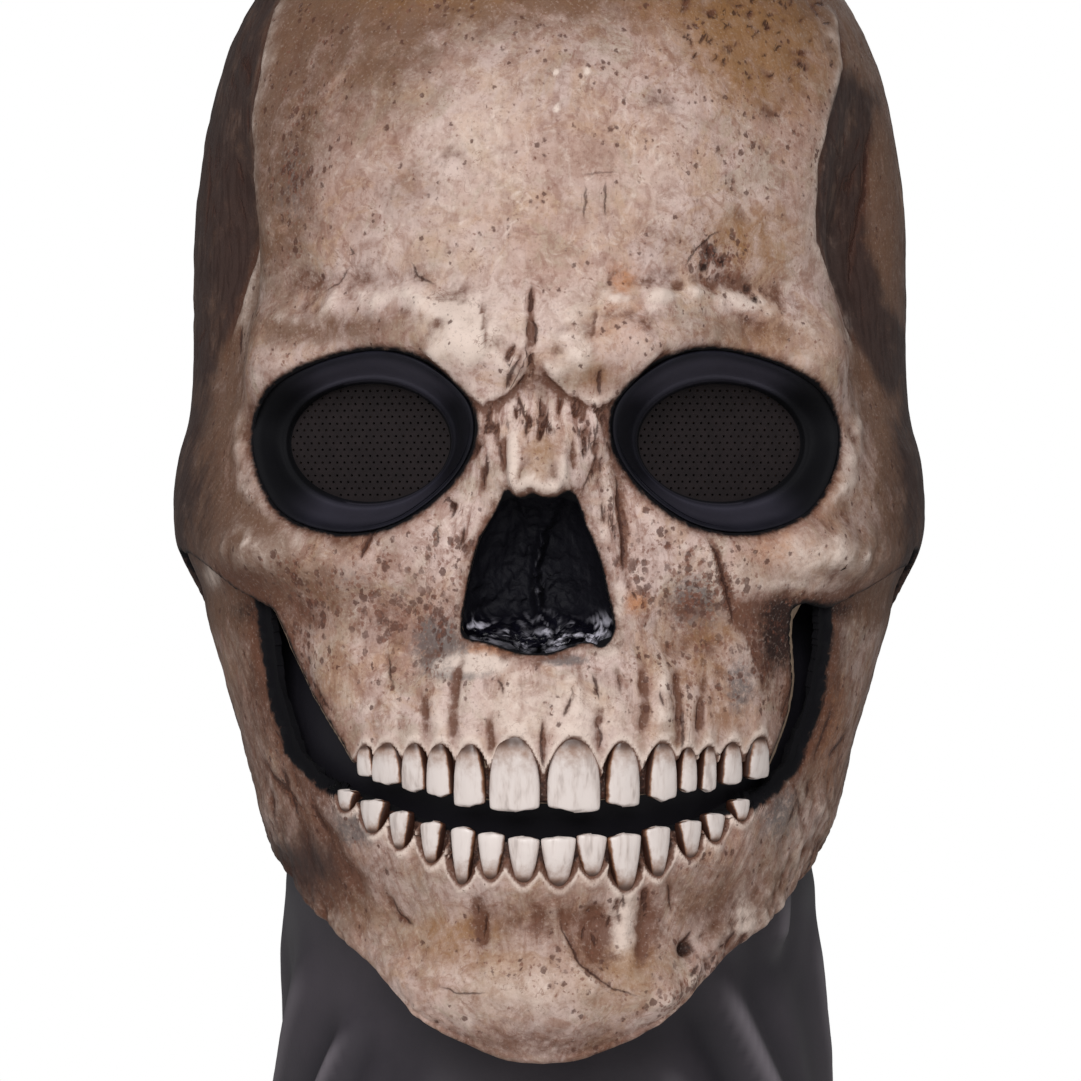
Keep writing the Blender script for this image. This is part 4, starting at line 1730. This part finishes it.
def buildHood(material):
    look = hoodForm
    downs = np.linspace(look["sections"][0][0], look["sections"][-1][0], look["rows"])
    turns = (np.arange(look["columns"]) / look["columns"] * 2 - 1) * math.pi
    turn, down = np.meshgrid(turns, downs)
    points = headPoint(turn, down, look["sections"], withRelief=False)
    normal = normalsOf(points, True)
    rise = np.zeros(down.shape)
    crest = np.zeros(down.shape)
    valley = np.zeros(down.shape)
    degrees = np.degrees(turn)
    for startTurn, startDown, endTurn, endDown, half, height in look["folds"]:
        # Turns are scaled to about the same length as downs, 1.3 mm to a degree
        ends = ((startTurn * 1.3, startDown), (endTurn * 1.3, endDown))
        gap, _, share, _, _ = alongLine(degrees * 1.3, down, ends)
        begun = softStep(share, 0.0, 0.3)
        onTop = np.exp(-((gap / (half * 1.3)) ** 2)) * begun
        beside = np.exp(-(((gap - half * 2.6) / (half * 1.5)) ** 2)) * begun
        rise += height * (1.2 * onTop - 0.8 * beside)
        crest += 0.38 * height * onTop**3
        valley += 0.18 * height * beside
    rise += 0.9 * fractal(points, 34.0, 2, 6) * softStep(down, 262, 290)
    rise *= softStep(down, 205, 225) * softStep(368.5 - down, -4.0, 10.0)
    rise = np.where(down < 262, np.minimum(rise, 0.0), rise)
    bead = np.exp(-(((down - 365.8) / 1.4) ** 2))
    points = points + normal * (rise - look["wall"] * 0.1 + look["hem"] * bead)[..., None]
    shaded = softStep(282 - down, -8.0, 16.0)
    under = np.exp(-(((down - 300) / 30) ** 2)) * softStep(42 - np.abs(degrees), 0.0, 24.0)
    made, row, column = sheet("hood_skin", points, True)
    shaded = np.clip(shaded + 0.6 * under + valley, 0.0, 1.0)
    addFields(made, row, column, {"shaded": shaded, "lit": np.clip(crest - shaded, 0.0, 1.0)})
    weld(made)
    thicken(made, look["wall"])
    shadeSmooth(made, 60)
    finishPiece(made, material, "hood_latex", "hood")


# Studio

studio = {
    "floorDown": 455.0,  # mm below the crown
    "floorHalf": 1050.0,
    "camera": (29.0, -1924.0, -187.0),
    "target": (-2.5, 0.0, -187.0),
    "lens": 230.6,
    "keyEnergy": 24.6,
    "sideEnergy": 1.5,
    "backEnergy": 5.0,
    "ambient": 0.18,
}


def aim(obj, target):
    direction = Vector(target) - obj.location
    obj.rotation_euler = direction.to_track_quat("-Z", "Y").to_euler()


def addLight(name, place, size, energy, target=(0.0, 0.0, -0.19)):
    data = bpy.data.lights.new(name, "AREA")
    data.shape = "RECTANGLE"
    data.size, data.size_y = size
    data.energy = energy
    made = bpy.data.objects.new(name, data)
    bpy.context.scene.collection.objects.link(made)
    made.location = place
    aim(made, target)


def buildStudio():
    look = studio
    nothingSelected()
    bpy.ops.mesh.primitive_circle_add(
        vertices=96, radius=look["floorHalf"] * mm, fill_type="NGON", location=(0, 0, -look["floorDown"] * mm)
    )
    floor = bpy.context.object
    floor.name = "floor"
    material = newMaterial("matt_pale_floor")
    place = addNode(material, "TexCoord", out="Object")
    grain = addNode(material, "TexNoise", links={"Vector": place, "Scale": 6.0, "Detail": 2.0})
    colour = addNode(material, "Mix", colourMix, {0: grain, 6: fromHex("#ecebe9"), 7: fromHex("#e6e5e3")}, 2)
    floor.data.materials.append(finishMaterial(material, {"Base Color": colour, "Roughness": 0.8}))

    world = bpy.context.scene.world or bpy.data.worlds.new("studio")
    bpy.context.scene.world = world
    world.use_nodes = True
    nodes = world.node_tree.nodes
    nodes.clear()
    out = nodes.new("ShaderNodeOutputWorld")
    seen = nodes.new("ShaderNodeBackground")
    seen.inputs[0].default_value = (1.0, 1.0, 1.0, 1.0)
    seen.inputs[1].default_value = 1.0
    lit = nodes.new("ShaderNodeBackground")
    lit.inputs[0].default_value = (1.0, 1.0, 1.0, 1.0)
    lit.inputs[1].default_value = look["ambient"]
    path = nodes.new("ShaderNodeLightPath")
    mix = nodes.new("ShaderNodeMixShader")
    world.node_tree.links.new(path.outputs["Is Camera Ray"], mix.inputs[0])
    world.node_tree.links.new(lit.outputs[0], mix.inputs[1])
    world.node_tree.links.new(seen.outputs[0], mix.inputs[2])
    world.node_tree.links.new(mix.outputs[0], out.inputs[0])

    addLight("key", (-0.15, -1.7, 0.55), (1.3, 0.9), look["keyEnergy"])
    addLight("left", (-1.3, -1.1, 0.1), (0.6, 1.2), look["sideEnergy"])
    addLight("right", (1.3, -1.1, 0.1), (0.6, 1.2), look["sideEnergy"])
    addLight("back", (0.2, 1.7, 0.7), (1.2, 0.9), look["backEnergy"])

    data = bpy.data.cameras.new("camera")
    camera = bpy.data.objects.new("camera", data)
    bpy.context.scene.collection.objects.link(camera)
    camera.location = [value * mm for value in look["camera"]]
    aim(camera, [value * mm for value in look["target"]])
    data.lens = look["lens"]
    data.sensor_width = 36.0
    data.clip_start = 0.05
    bpy.context.scene.camera = camera
    bpy.context.scene.view_settings.view_transform = "Standard"
    print("studio ready")


def build():
    bone = paintedLatexMaterial()
    ivory = paintedToothMaterial()
    blacks = {name: blackLatexMaterial("black_latex_" + name, look) for name, look in blackFinishes.items()}
    buildSkull(bone)
    buildSkullInside(blacks["inside"])
    buildJaw(bone)
    for rowName in ("upper", "lower"):
        for index, entry in enumerate(teethRows[rowName]):
            buildTooth(f"tooth_{rowName}_{index + 1:02d}", rowName, entry, ivory)
    for hand, word in ((-1, "left"), (1, "right")):
        buildSocket(hand, word, blacks["socket"])
        buildScreen(hand, word, blacks["screen"])
    buildNose(blacks["nose"])
    buildHood(blacks["hood"])
    buildStudio()


build()
bpy.context.view_layer.update()
print("sizes written")
